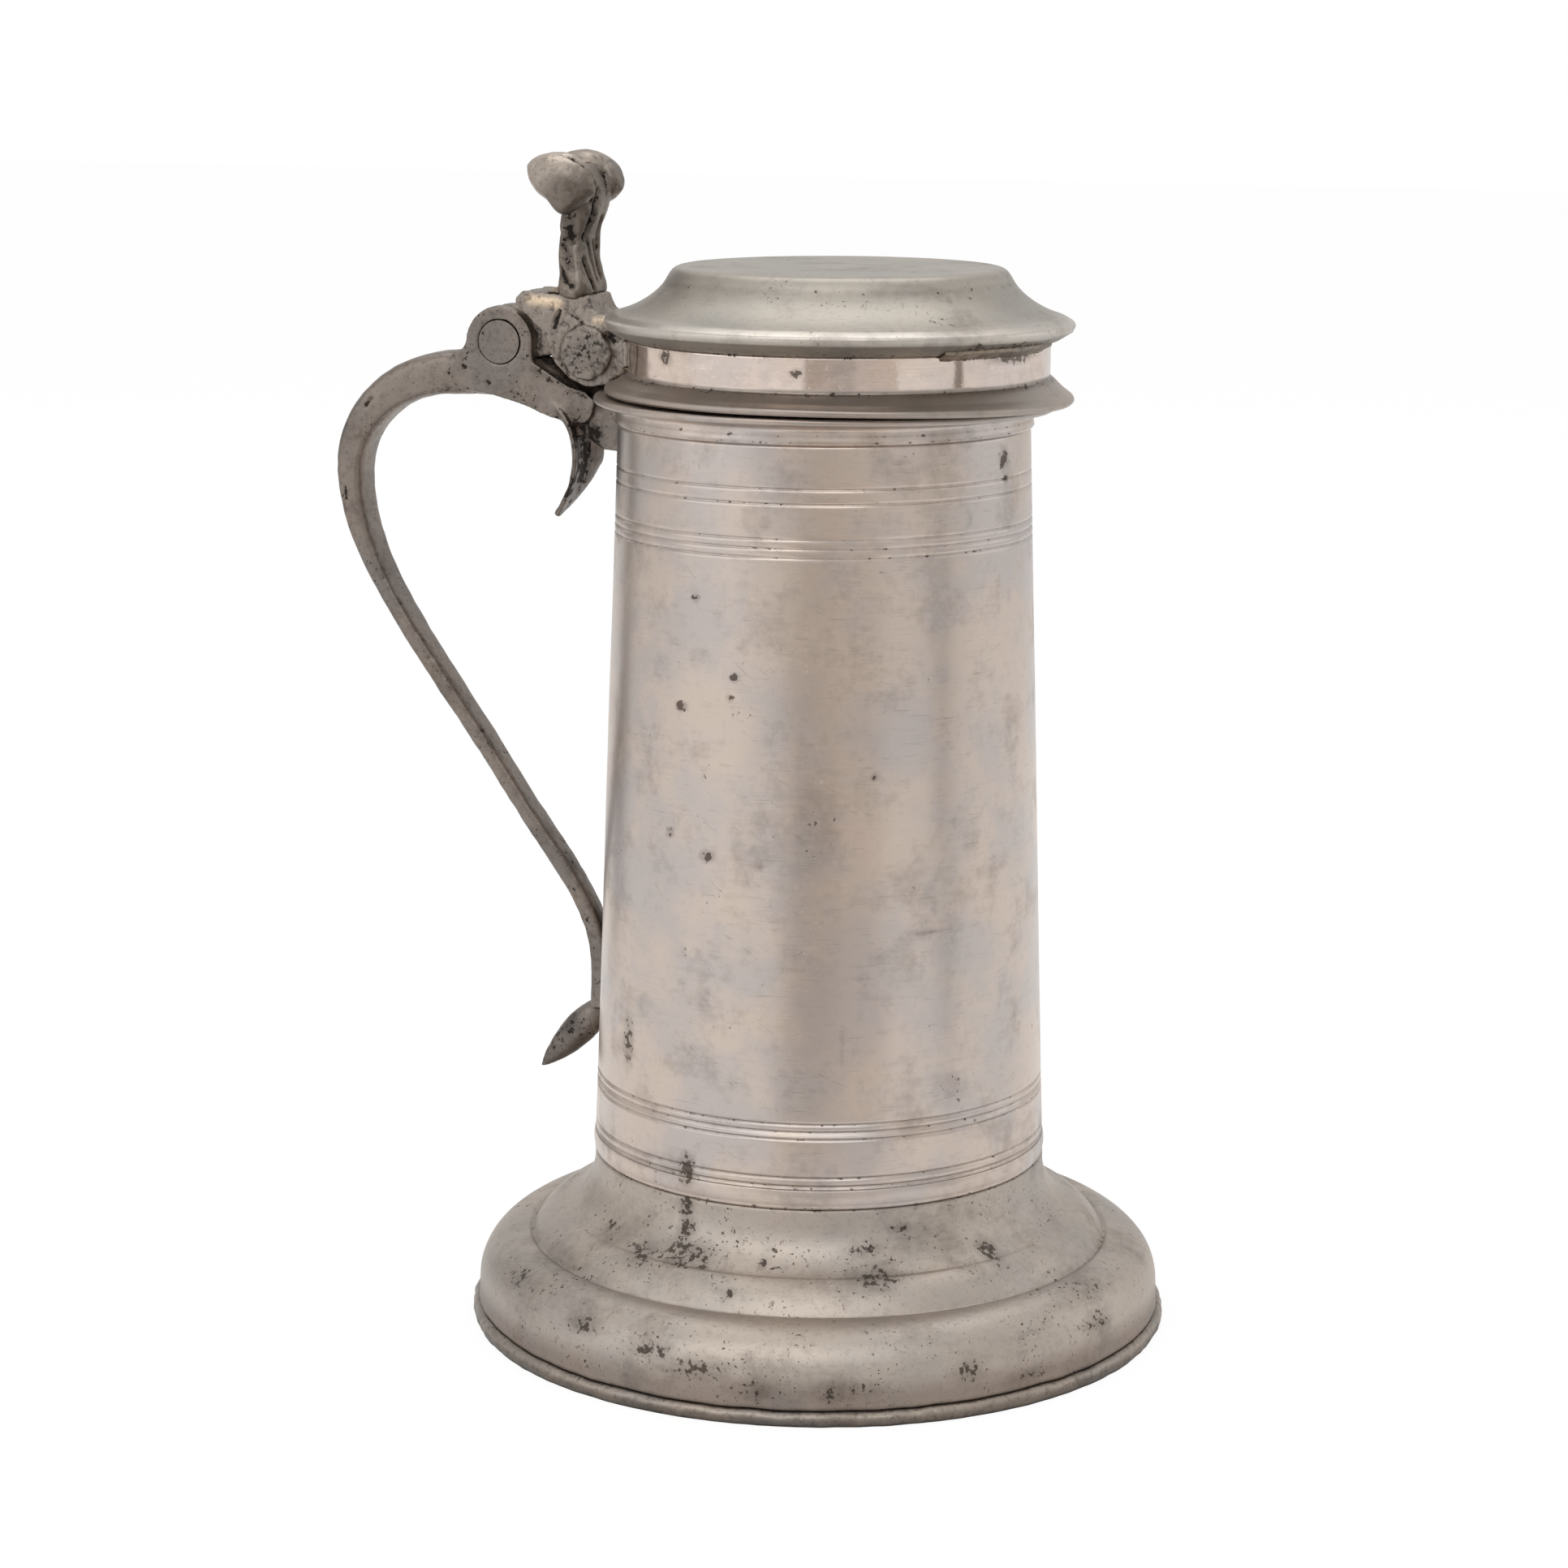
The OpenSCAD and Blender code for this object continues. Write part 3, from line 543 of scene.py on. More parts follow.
def build_foot():
    """The hollow foot, with a fine mesh outside and a coarse one inside."""
    piece = lathe("foot_skin", "flagon", fine(foot_outside(), 0.8) + fine(foot_inside(), 3), 400,
                  foot_shape, foot_dull_and_shade, foot_grime, FOOT_MARKS)
    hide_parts("foot")
    return piece


def ring_shape(angle, r, z):
    """The bead is rough where it meets the seam and the table."""
    top = np.clip(z / BEAD_H, 0, 1)
    outer = np.clip((r - FOOT_R + 3) / 3, 0, 1)
    rough = unevenness(around(angle, r, z), RING_ROUGHNESS)
    return r + (rough - RING_WORN_BACK) * outer, z + top * (seam_height(angle) - BEAD_H)


def ring_dull(r, z):
    """The bead is rubbed bright in places along its upper edge."""
    edge = bump_at(z, 0.8 * BEAD_H, 0.35 * BEAD_H) * (r > FOOT_R - 3)
    return 1 - 0.4 * edge


def ring_grime(r, z):
    """Dirt lies in the seam."""
    return 0.35 * bump_at(z, BEAD_H, 0.7)


def build_ring():
    """The bead, which is half round outside and flat inside."""
    edge_r = BEAD_H / 2
    outline = [(FOOT_R - RING_W, 0), (FOOT_R - 1, 0)]
    outline += arc(FOOT_R - edge_r, edge_r, edge_r, edge_r, -53, 78, 13)
    outline += [(FOOT_R - RING_W, BEAD_H), (FOOT_R - RING_W, CLOSING_GAP)]
    piece = lathe("ring_skin", "flagon", fine(outline, 0.7), 620, ring_shape, ring_dull, ring_grime)
    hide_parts("foot_ring")
    return piece


# ---------------------------------------------------------------- lid
LID_DENTS = ((0.05, 18, 8), (0.025, 6, 9))
COLLAR_MARKS = (
    # angle, height, half width, half height, strength
    (-84, 236.1, 1.8, 1.2, 1.0),
    (-126, 237.8, 3.0, 2.0, 0.8),
    (-20, 238.6, 12.0, 2.0, 0.9),
)
CROWN_MARKS = (
    (-25, CROWN_Z + 0.8, 17.0, 2.2, 1.0),
    (-38, 241.4, 4.0, 2.0, 0.9),
)


def collar_shape(angle, r, z):
    """The lower brim hangs down on the right, and the turned faces are a little uneven."""
    out = np.clip((r - COLLAR_R - 0.5) / (BRIM_STEP - 0.5), 0, 1) * (z < CROWN_Z - 4)
    outside = r > COLLAR_R - 1
    dents = unevenness(around(angle, r, z), LID_DENTS)
    return np.where(outside, r + dents, r), z - LOWER_BRIM_DROOP * out * droop(angle)


def collar_dull_and_shade(r, z):
    """The brim, the fillet at the foot of the upright band and the inside are matt and darker, and
    the upright band is polished; on the brim and the fillet the darker colour is painted shade.
    """
    return np.where(z < LID_Z + 5.8, 1.0, 0.0) + (r < COLLAR_R - 0.5)


def collar_shade(r, z):
    """Painted shade lies at the top of the upright band, under the upper brim, and at its foot, on
    the fillet.
    """
    return 0.5 * np.maximum(bump_at(z, CROWN_Z, 1.0), bump_at(z, LID_Z + 4.8, 1.2))


def build_collar():
    """The collar, whose lower brim rises from a rounded edge to the upright band."""
    inner = COLLAR_R - LID_WALL
    edge_r = BRIM_EDGE_T / 2
    outline = [(inner, LID_Z), (BRIM_R - 3.2, LID_Z), (BRIM_R - 0.5, LID_Z + 0.4)]
    outline += arc(BRIM_R - edge_r, LID_Z + 0.5 + edge_r, edge_r, edge_r, -60, 70, 8)
    outline += [(BRIM_R - 2.4, LID_Z + 2.9), (COLLAR_R + 1.2, LID_Z + 4.3)]
    outline += arc(COLLAR_R + COLLAR_FILLET, LID_Z + 4.6 + COLLAR_FILLET, COLLAR_FILLET,
                   COLLAR_FILLET, 250, 180, 5)
    outline += [(COLLAR_R, CROWN_Z), (inner, CROWN_Z), (inner, LID_Z + CLOSING_GAP)]
    piece = lathe("collar_skin", "lid", fine(outline, 0.6), 360, collar_shape, collar_dull_and_shade,
                  collar_shade, COLLAR_MARKS, LID_SHIFT)
    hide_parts("lid_collar")
    return piece


def crown_shape(angle, r, z):
    """The brim sags a little on the right."""
    out = np.clip((r - CROWN_TOP_R - 4) / (BRIM_R - CROWN_TOP_R - 4), 0, 1) * (z > CROWN_Z + 1)
    return r, z - UPPER_BRIM_DROOP * out * droop(angle)


def crown_sheen_and_shade(r, z):
    """The brim's edge is pale and polished as a painted highlight, its underside is the most matt
    and darkest part as painted shade, and the cove and the flat top are painted darker and duller.
    """
    under = np.clip((CROWN_Z + 3.4 - z) / 0.6, 0, 1)
    edge = bump_at(z, UPPER_EDGE_Z + 0.6, 2.4) * (r > BRIM_R - 8)
    return np.maximum(under, 0.75 * (1 - edge))


def crown_grime_and_shade(r, z):
    """Painted shade lies in the joint on the collar, under the brim; a dark ring runs under the flat
    top, and dirt lies in two fine lines on the brim.
    """
    joint = bump_at(z, CROWN_Z, 2.0)
    under_top = 0.8 * bump_at(z, TOP_Z - 3.4, 1.6)
    lines = (bump_at(r, BRIM_R - 2.6, 0.5) + bump_at(r, BRIM_R - 4.4, 0.5)) * (z > UPPER_EDGE_Z)
    return 0.42 * np.maximum(joint, np.maximum(under_top, lines))


def build_crown():
    """The crown, which rises from the upper brim in one hollow curve to its flat top."""
    cove = curve((BRIM_R - 0.9, UPPER_EDGE_Z + 1.5), (BRIM_R - 7, UPPER_EDGE_Z + 2.6),
                 (CROWN_TOP_R + 4.2, UPPER_EDGE_Z + 6.4), (CROWN_TOP_R + 2.4, TOP_Z - 3), 14)
    edge = curve(cove[-1], (CROWN_TOP_R + 1.3, TOP_Z - 1), (CROWN_TOP_R + 0.6, TOP_Z),
                 (CROWN_TOP_R - 1.5, TOP_Z), 8)
    outside = [(COLLAR_R, CROWN_Z), (COLLAR_R + 1.2, CROWN_Z + 0.4), (BRIM_R - 0.5, CROWN_Z + 3)]
    outside += arc(BRIM_R - 1, UPPER_EDGE_Z, 1, 1, -50, 60, 8)
    outside += cove[1:] + edge[1:] + [(PINHOLE_R, TOP_Z)]
    inside = [(PINHOLE_R, TOP_Z - LID_WALL), (CROWN_TOP_R - 1.5, TOP_Z - LID_WALL),
              (CROWN_TOP_R + 1.4, UPPER_EDGE_Z + 4.6), (COLLAR_R - LID_WALL, UPPER_EDGE_Z - 0.4),
              (COLLAR_R - LID_WALL, CROWN_Z)]
    piece = lathe("crown_skin", "lid", fine(outside, 0.7) + fine(inside, 3), 360, crown_shape,
                  crown_sheen_and_shade, crown_grime_and_shade, CROWN_MARKS, LID_SHIFT)
    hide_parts("lid_crown")
    return piece


# ---------------------------------------------------------------- marks of the cast pieces
def ring_path(x, y, z, radius):
    """A circle round (x, z) in the upright plane at y."""
    return [(px, y, pz) for px, pz in arc(x, z, radius, radius, 0, 360, 20)]


# Each mark is a path, its half width, its depth, how stained it is and how it shines; on some marks
# the stain is painted shade. A mark with a depth below 0 stands out.
HANDLE_MARKS = (
    # the ends of the pin
    (ring_path(PIN_X, -EAR_SIDE, PIN_Z, PIN_R), 0.55, 0.25, 0.95, 0),
    (ring_path(PIN_X, EAR_SIDE, PIN_Z, PIN_R), 0.55, 0.25, 0.95, 0),
    # pits in the ear and the strap
    (((-90.2, -5.9, 230.8), (-89.4, -5.9, 230.4)), 0.8, 0.3, 1.0, 0),
    (((-83.9, -5.9, 227.1), (-83.3, -5.9, 226.6)), 0.7, 0.3, 1.0, 0),
    (((-76.0, -5.9, 224.6), (-75.6, -5.9, 224.2)), 0.7, 0.25, 1.0, 0),
    (((-94.0, -5.9, 229.0), (-93.7, -5.9, 228.6)), 0.6, 0.25, 1.0, 0),
    (((-116.2, -5.8, 220.0), (-114.6, -5.8, 222.0)), 0.9, 0.3, 0.8, 0),
    (((-122.2, -5.4, 199.7), (-122.0, -5.4, 197.0)), 0.8, 0.25, 0.8, 0),
    # raised dark lumps on top of the root, under the hinge
    (((-70.0, 0, 231.6), (-66.5, 0, 230.2)), 5.0, -1.7, 1.0, 0),
    (((-61.0, 0, 227.0), (-57.5, 0, 225.3)), 4.0, -1.1, 1.0, 0),
    (((-56.5, 0, 224.5), (-54.5, 0, 223.0)), 3.5, -2.2, 1.0, 0),
    (((-72.0, -5.0, 230.5), (-58.0, -5.0, 224.5)), 2.2, 0.2, 0.85, 0),
    # the leaf is rough, and darkened all over with painted shade
    (((-59.0, 0, 217.0), (-61.5, 0, 204.0)), 7.0, 0.5, 0.92, 0),
    (((-61.0, -5.0, 216.0), (-63.0, -5.0, 202.0)), 8.5, 0.3, 0.78, 0),
    (((-61.0, -9.5, 213.0), (-65.0, -6.0, 197.0)), 6.0, 0, 0.60, 0),
    (((-64.5, 0, 197.5), (-66.5, 0, 194.5)), 3.0, 0, 0.5, 0),
    (((-57.4, -4.0, 215.1), (-60.3, -5.7, 206.2), (-63.2, -5.5, 200.3)), 4.5, 0.2, 0.95, 0),
    # painted shade in streaks down the inner side of the limb, the rough dark bud and the dark
    # crease where the leaf starts
    (((-108.7, -3.9, 172.0), (-82.6, -2.6, 134.0)), 2.2, 0, 0.45, 0),
    (((-65.6, -1.0, 109.6), (-58.2, -2.0, 84.4)), 4.5, 0, 0.52, 0),
    (((-63.6, -3.0, 67.0), (-71.5, 0, 57.5)), 5.0, 0.15, 0.64, 0),
    (((-66.0, -5.9, 219.0), (-60.5, -5.9, 214.0)), 1.6, 0.5, 0.7, 0),
)
BLOCK_MARKS = (
    # two pale lumps of solder, and the crusted boss
    (((-71.3, -8.0, 247.2), (-66.9, -8.0, 247.0), (-64.4, -8.0, 246.4)), 2.1, -0.5, 0, 1.0),
    (((-54.9, -8.0, 242.8), (-52.6, -8.0, 243.0)), 1.4, -0.3, 0, 0.9),
    (((BOSS_X, -BLOCK_SIDE - BOSS_H, BOSS_Z),), BOSS_R + 4, -0.9, 0.60, 0),
    # cracks round them
    (((-64.0, -8.0, 245.0), (-65.5, -8.0, 240.5)), 0.9, 0.5, 0.7, 0),
    (((-61.9, -8.0, 244.2), (-58.4, -8.0, 242.4)), 0.9, 0.4, 0.6, 0),
    (((-51.6, -8.5, 239.4), (-50.0, -8.5, 238.6)), 1.7, 1.0, 1.0, 0),
    (((-66.4, -8.0, 236.0), (-62.0, -8.0, 229.6)), 1.0, 0.4, 0.6, 0),
)
THUMB_MARKS = (
    # the crest that joins the cusps, and the swell below the left one
    (((-62.5, -4.5, 279.5), (-62.5, 4.5, 279.5)), 5.5, -1.5, 0, 0.3),
    (((-62.0, -10.5, 271.0), (-61.5, -8.0, 265.5)), 4.5, -1.7, 0, 0),
    # the cusps are rubbed paler on top
    (((-70.0, -11.0, 277.0), (-62.0, -10.5, 281.0)), 8.5, 0, 0, 0.9),
    (((-70.0, 9.0, 277.0), (-60.0, 8.0, 281.0)), 8.0, 0, 0, 0.7),
    # creases on the lid's side, darkened with painted shade
    (((-61.0, -11.6, 282.5), (-57.2, -10.6, 280.0), (-54.6, -9.0, 275.5), (-56.4, -5.6, 270.5)),
     1.4, 0.9, 0.85, 0),
    (((-58.0, 5.0, 280.5), (-56.7, 4.6, 276.5), (-56.3, 4.2, 272.5)), 1.4, 0.9, 0.85, 0),
    (((-56.2, -2.6, 273.0), (-57.1, -3.6, 267.6), (-58.4, -4.6, 262.5)), 2.3, 1.5, 1.0, 0),
    (((-57.7, 3.2, 266.4), (-58.2, 3.6, 259.5)), 2.0, 1.2, 1.0, 0),
    # dents and grooves down the stem, darkened with painted shade, and painted shade on the stem's
    # back
    (((-61.1, -7.9, 268.0), (-61.4, -7.7, 262.0)), 2.6, 0.8, 0.85, 0),
    (((-63.4, -7.7, 261.5), (-61.6, -7.9, 255.5)), 2.2, 0.6, 0.72, 0),
    (((-64.3, -7.5, 254.6), (-60.8, -8.1, 250.6)), 1.6, 0.8, 0.9, 0),
    (((-58.5, -5.6, 257.0), (-57.9, -4.0, 252.8), (-57.4, -2.4, 249.6)), 1.2, 1.0, 1.0, 0),
    (((-58.6, 0.4, 261.0), (-58.4, 2.0, 256.9), (-57.8, 3.4, 252.5)), 1.2, 0.9, 1.0, 0),
    (((-59.2, -3.4, 262.0), (-58.4, -1.6, 257.5), (-57.8, 0.4, 251.5)), 0.9, 0.7, 0.9, 0),
    (((-60.2, -7.6, 260.5), (-59.4, -7.4, 250.0)), 0.9, -0.5, 0, 0.3),
    (((-64.8, 0, 262.0), (-65.2, 0, 252.0)), 4.0, 0.5, 0.5, 0),
    # the stem spreads where it stands on the block
    (((-61.2, -7.0, 249.8), (-61.2, 7.0, 249.8)), 5.5, -1.3, 0, 0),
)


# ---------------------------------------------------------------- materials
class Shader:
    """Builds the node tree of one material."""

    def __init__(self, name):
        self.material = bpy.data.materials.new(name)
        self.material.use_nodes = True
        self.tree = self.material.node_tree
        self.tree.nodes.clear()
        self.output = self.tree.nodes.new("ShaderNodeOutputMaterial")
        self.place = self.add("ShaderNodeTexCoord").outputs["Object"]

    def add(self, kind, inputs=None, **settings):
        """A node with these settings. An input is a value or another node's socket."""
        node = self.tree.nodes.new(kind)
        for key, value in settings.items():
            setattr(node, key, value)
        for key, value in (inputs or {}).items():
            if isinstance(value, bpy.types.NodeSocket):
                self.tree.links.new(value, node.inputs[key])
            else:
                node.inputs[key].default_value = value
        return node

    def noise(self, size, detail, rough, squeeze=None, tilt=(0, 0, 0)):
        """Noise with lumps of about the given size in millimetres. squeeze makes them so many
        times narrower along X, Y and Z, and tilt turns them."""
        vector = self.place
        if squeeze:
            inputs = {"Vector": vector, "Scale": [1 / v for v in squeeze], "Rotation": tilt}
            node = self.add("ShaderNodeMapping", inputs, vector_type="TEXTURE")
            vector = node.outputs[0]
        node = self.add("ShaderNodeTexNoise", {"Vector": vector, "Scale": 1 / (size * MM),
                                               "Detail": detail, "Roughness": rough})
        return node.outputs["Fac"]

    def painted(self, name):
        """The number that paint() stored under this name."""
        return self.add("ShaderNodeAttribute", attribute_name=name).outputs["Fac"]

    def span(self, value, low, high, to_low=0.0, to_high=1.0):
        """The value moved smoothly from the span low to high onto the new span."""
        node = self.add("ShaderNodeMapRange", {"Value": value, "From Min": low, "From Max": high,
                                               "To Min": to_low, "To Max": to_high},
                        interpolation_type="SMOOTHSTEP")
        return node.outputs[0]

    def math(self, operation, a, b=0.0, c=0.0):
        """The result of one sum."""
        node = self.add("ShaderNodeMath", {0: a, 1: b, 2: c}, operation=operation)
        return node.outputs[0]

    def scale(self, value, amount, start=0.0):
        """The value times the amount, plus a start."""
        return self.math("MULTIPLY_ADD", value, amount, start)

    def most(self, first, *others):
        """The greatest of the values."""
        for value in others:
            first = self.math("MAXIMUM", first, value)
        return first

    def total(self, first, *others):
        """The sum of the values."""
        for value in others:
            first = self.math("ADD", first, value)
        return first

    def mix(self, share, a, b):
        """A colour between a and b."""
        node = self.add("ShaderNodeMix", {0: share, 6: a, 7: b}, data_type="RGBA")
        return node.outputs[2]

    def bump(self, height, depth, under=None):
        """A relief of this depth, as millimetres or as a socket in metres, on the one under it."""
        distance = depth * MM if isinstance(depth, float) else depth
        inputs = {"Height": height, "Strength": 1.0, "Distance": distance}
        if under:
            inputs["Normal"] = under
        return self.add("ShaderNodeBump", inputs).outputs[0]

    def finish(self, colour, roughness, normal):
        """The material, as a bare metal with this colour, roughness and relief."""
        surface = self.add("ShaderNodeBsdfPrincipled", {"Base Color": colour, "Metallic": 1.0,
                                                        "Roughness": roughness, "Normal": normal})
        self.tree.links.new(surface.outputs[0], self.output.inputs["Surface"])
        return self.material


def srgb(levels):
    """A colour given as the three 0 to 255 numbers that a screen shows."""
    return tuple((v / 255 / 12.92 if v < 11 else ((v / 255 + 0.055) / 1.055) ** 2.4)
                 for v in levels) + (1.0,)


# what old pewter shows, as the size of its lumps in millimetres, from broad to fine
TOOL_MARKS = 50
CLOUDS = 26
SMUDGES = 15
STREAKS = 10
PIT_FIELDS = 9
SLANTING_SCRATCHES = 8
LEVEL_SCRATCHES = 7
DENTS = 7
MOTTLE = 2.4
GRIT = 1.6
HOLLOWS = 1.5
SMALL_PITS = 0.8
GRAIN = 0.5

# how deep these are, in millimetres
DENT_DEPTH = 0.08
POLISHED_GRAIN_DEPTH = 0.004
DULL_GRAIN_DEPTH = 0.012
HOLLOW_DEPTH = 0.4
PIT_DEPTH = 0.12


def pit_share(s, wear_and_shade, pits):
    """Where the surface is pitted: small and large pits in fields, and the painted marks."""
    grit = s.scale(s.noise(GRIT, 4, 0.6), 1.0, -0.5)
    field = s.span(s.noise(PIT_FIELDS, 3, 0.6), 0.62 - 0.14 * pits, 0.76 - 0.14 * pits)
    small = s.span(s.noise(SMALL_PITS, 2, 0.5), 0.69 - 0.05 * pits, 0.75 - 0.03 * pits)
    small = s.math("MULTIPLY", small, s.scale(field, 0.9, 0.1 + 0.2 * pits))
    large = s.math("MULTIPLY", field, s.span(grit, 0.13, 0.18))
    marked = s.span(s.math("MULTIPLY_ADD", grit, 2.4, wear_and_shade), 0.60, 0.76)
    return s.most(small, large, marked)


def scratch_share(s):
    """Where the surface is scratched, round the drum or at a slant to it."""
    level = s.noise(LEVEL_SCRATCHES, 2, 0.5, squeeze=(1, 1, 34))
    slanting = s.noise(SLANTING_SCRATCHES, 2, 0.5, squeeze=(1, 1, 30), tilt=(0.5, 0.62, 0))
    return s.most(s.span(level, 0.66, 0.70), s.span(slanting, 0.69, 0.72))


def stain_and_shade_share(s, wear_and_shade, smudge, hollows, crust, scratched):
    """How far the colour goes towards the stain colour, from stains, smudges and scratches, and from
    the painted shade that some pieces carry in their dirt.
    """
    mottle = s.noise(MOTTLE, 4, 0.65)
    streaks = s.noise(STREAKS, 4, 0.6, squeeze=(1, 1, 7))
    parts = [
        s.scale(smudge, 0.22, -0.02),
        s.scale(mottle, 0.44, -0.22),
        s.scale(streaks, 0.30, -0.15),
        s.span(wear_and_shade, 0.0, 0.7, 0.0, 0.34),
    ]
    if crust:
        parts.append(s.span(hollows, 0.50, 0.34, 0.0, 0.55 * crust))
    if scratched:
        parts.append(s.scale(scratch_share(s), 0.24 * scratched))
    return s.most(s.total(*parts), 0.0)


def relief(s, dull_and_painted_light, spots, hollows, turned, crust):
    """The dents, the grain, the lathe's marks, the crust and the pits, one on top of the other."""
    more = DULL_GRAIN_DEPTH - POLISHED_GRAIN_DEPTH
    grain_depth = s.scale(dull_and_painted_light, more * MM, POLISHED_GRAIN_DEPTH * MM)
    normal = s.bump(s.noise(DENTS, 3, 0.5), DENT_DEPTH)
    normal = s.bump(s.noise(GRAIN, 3, 0.6), grain_depth, normal)
    if turned:
        normal = s.bump(s.noise(TOOL_MARKS, 2, 0.5, squeeze=(1, 1, 110)), turned, normal)
    if crust:
        normal = s.bump(hollows, HOLLOW_DEPTH * crust, normal)
    return s.bump(s.math("SUBTRACT", 1.0, spots), PIT_DEPTH, normal)


def pewter(name, bright, matt, stain_and_shade, gloss, pits, turned=0.0, crust=0.0, scratched=0.0):
    """Old pewter. bright and matt are the warm and the cool colour of its polished and its matt
    places, gloss is the roughness of both, stain the colour of its pits, its stains and its painted
    shade, and pits how many small pits it has, from 0 to 1. turned is the depth of the marks that
    the lathe left, crust how rough the casting is and scratched how much it is scratched, from 0 to
    1."""
    s = Shader(name)
    dull_and_painted_light = s.painted("dull_and_painted_light")
    wear_and_shade = s.painted("wear_and_shade")
    warmth = s.span(s.noise(CLOUDS, 4, 0.6), 0.38, 0.62)
    smudge = s.span(s.noise(SMUDGES, 5, 0.65), 0.47, 0.70)
    hollows = s.noise(HOLLOWS, 3, 0.6) if crust else None
    spots = pit_share(s, wear_and_shade, pits)

    colour = s.mix(dull_and_painted_light, s.mix(warmth, *map(srgb, bright)), s.mix(warmth, *map(srgb, matt)))
    colour = s.mix(stain_and_shade_share(s, wear_and_shade, smudge, hollows, crust, scratched), colour, srgb(stain_and_shade))
    colour = s.mix(s.scale(spots, 0.8), colour, srgb(stain_and_shade))

    polished, unpolished = gloss
    rough = s.total(s.scale(dull_and_painted_light, unpolished - polished, polished), s.scale(smudge, 0.12, -0.03),
                    s.scale(spots, 0.3))
    return s.finish(colour, rough, relief(s, dull_and_painted_light, spots, hollows, turned, crust))


def dress(piece, material):
    """Gives a piece its only material."""
    piece.data.materials.clear()
    piece.data.materials.append(material)


DRUM_PEWTER = pewter(
    "polished_pewter",
    bright=((186, 178, 174), (199, 185, 174)), matt=((150, 143, 138), (160, 148, 139)),
    stain_and_shade=(84, 72, 64), gloss=(0.32, 0.42), pits=0.15, turned=0.012, scratched=1.0)
COLLAR_PEWTER = pewter(
    "collar_pewter",
    bright=((222, 210, 203), (234, 216, 203)), matt=((158, 150, 143), (168, 156, 147)),
    stain_and_shade=(78, 66, 58), gloss=(0.13, 0.42), pits=0.2, turned=0.008, scratched=0.4)
FOOT_PEWTER = pewter(
    "satin_pewter",
    bright=((177, 170, 163), (187, 177, 167)), matt=((142, 133, 126), (152, 139, 129)),
    stain_and_shade=(82, 73, 66), gloss=(0.46, 0.52), pits=0.95, turned=0.015, crust=0.16, scratched=0.5)
CROWN_PEWTER = pewter(
    "crown_pewter",
    bright=((196, 191, 184), (203, 196, 187)), matt=((148, 144, 137), (156, 150, 141)),
    stain_and_shade=(84, 76, 67), gloss=(0.40, 0.50), pits=0.6, turned=0.012, crust=0.1, scratched=0.6)
DARK_PEWTER = pewter(
    "dark_pewter",
    bright=((124, 117, 112), (136, 126, 118)), matt=((124, 117, 112), (136, 126, 118)),
    stain_and_shade=(44, 38, 34), gloss=(0.42, 0.42), pits=1.0, crust=0.4)
CAST_PEWTER = pewter(
    "cast_pewter",
    bright=((186, 178, 170), (198, 186, 174)), matt=((116, 109, 103), (128, 118, 109)),
    stain_and_shade=(28, 24, 21), gloss=(0.36, 0.46), pits=0.4, crust=0.5)
ROUGH_PEWTER = pewter(
    "rough_pewter",
    bright=((206, 190, 172), (214, 193, 167)), matt=((138, 131, 125), (148, 138, 129)),
    stain_and_shade=(34, 29, 26), gloss=(0.34, 0.46), pits=0.3, crust=1.0)
SOLDER = pewter(
    "solder",
    bright=((150, 142, 134), (172, 152, 130)), matt=((136, 129, 122), (152, 138, 122)),
    stain_and_shade=(48, 41, 36), gloss=(0.36, 0.46), pits=0.6, crust=0.7)

# ---------------------------------------------------------------- pieces
TURNED_PIECES = (
    (build_drum, DRUM_PEWTER),
    (build_rim, DRUM_PEWTER),
    (build_foot, FOOT_PEWTER),
    (build_ring, CAST_PEWTER),
    (build_collar, COLLAR_PEWTER),
    (build_crown, CROWN_PEWTER),
)
CAST_PIECES = (
    # CAD node, name, body, cell, softening steps, lumps, marks, material
    ("handle", "handle_cast", "flagon", 0.45, 4, ((0.14, 9, 1), (0.12, 2.8, 2)),
     HANDLE_MARKS, DARK_PEWTER),
    ("hinge_block", "block_cast", "lid", 0.4, 9, ((0.32, 5, 1), (0.24, 2, 2)),
     BLOCK_MARKS, ROUGH_PEWTER),
    ("thumbpiece", "thumbpiece_cast", "lid", 0.35, 8, ((0.32, 6, 1), (0.16, 2.4, 2)),
     THUMB_MARKS, CAST_PEWTER),
)
SOLDER_CELL = 0.25
SOLDER_SOFTENING = 3
SOLDER_LUMPS = ((0.2, 3, 1), (0.12, 1.1, 2))
SOLDER_PIECES = (
    # CAD node, body, dirt
    ("upper_handle_solder", "flagon", 0.75),
    ("lower_handle_solder", "flagon", 0.25),
    ("hinge_solder", "lid", 0.5),
    ("thumbpiece_solder", "lid", 0.2),
    ("brim_repair", "lid", 0.1),
)
PLAIN_PIECES = (
    ("floor_plate", FOOT_PEWTER),
    ("foot_solder", SOLDER),
    ("hinge_pin", DARK_PEWTER),
    ("lid_bezel", DARK_PEWTER),
)

for BUILD, MATERIAL in TURNED_PIECES:
    dress(BUILD(), MATERIAL)
for *SHAPE, MATERIAL in CAST_PIECES:
    dress(recast(*SHAPE), MATERIAL)
for NODE, BODY, DIRT in SOLDER_PIECES:
    dress(recast(NODE, NODE + "_cast", BODY, SOLDER_CELL, SOLDER_SOFTENING, SOLDER_LUMPS,
                 wear_and_shade=DIRT), SOLDER)
for NODE, MATERIAL in PLAIN_PIECES:
    dress(frame["nodes"][NODE], MATERIAL)

# ---------------------------------------------------------------- studio
FLOOR_HALF = 6.0
FLOOR_WHITE = 0.9
PANEL_WHITE = 1.0
PANEL_LIFT = 0.0002
PANEL_STEPS = 8
WHITE = (1, 1, 1, 1)
GLOW = 1.02
LAMP_AIM = Vector((0, 0, 0.14))


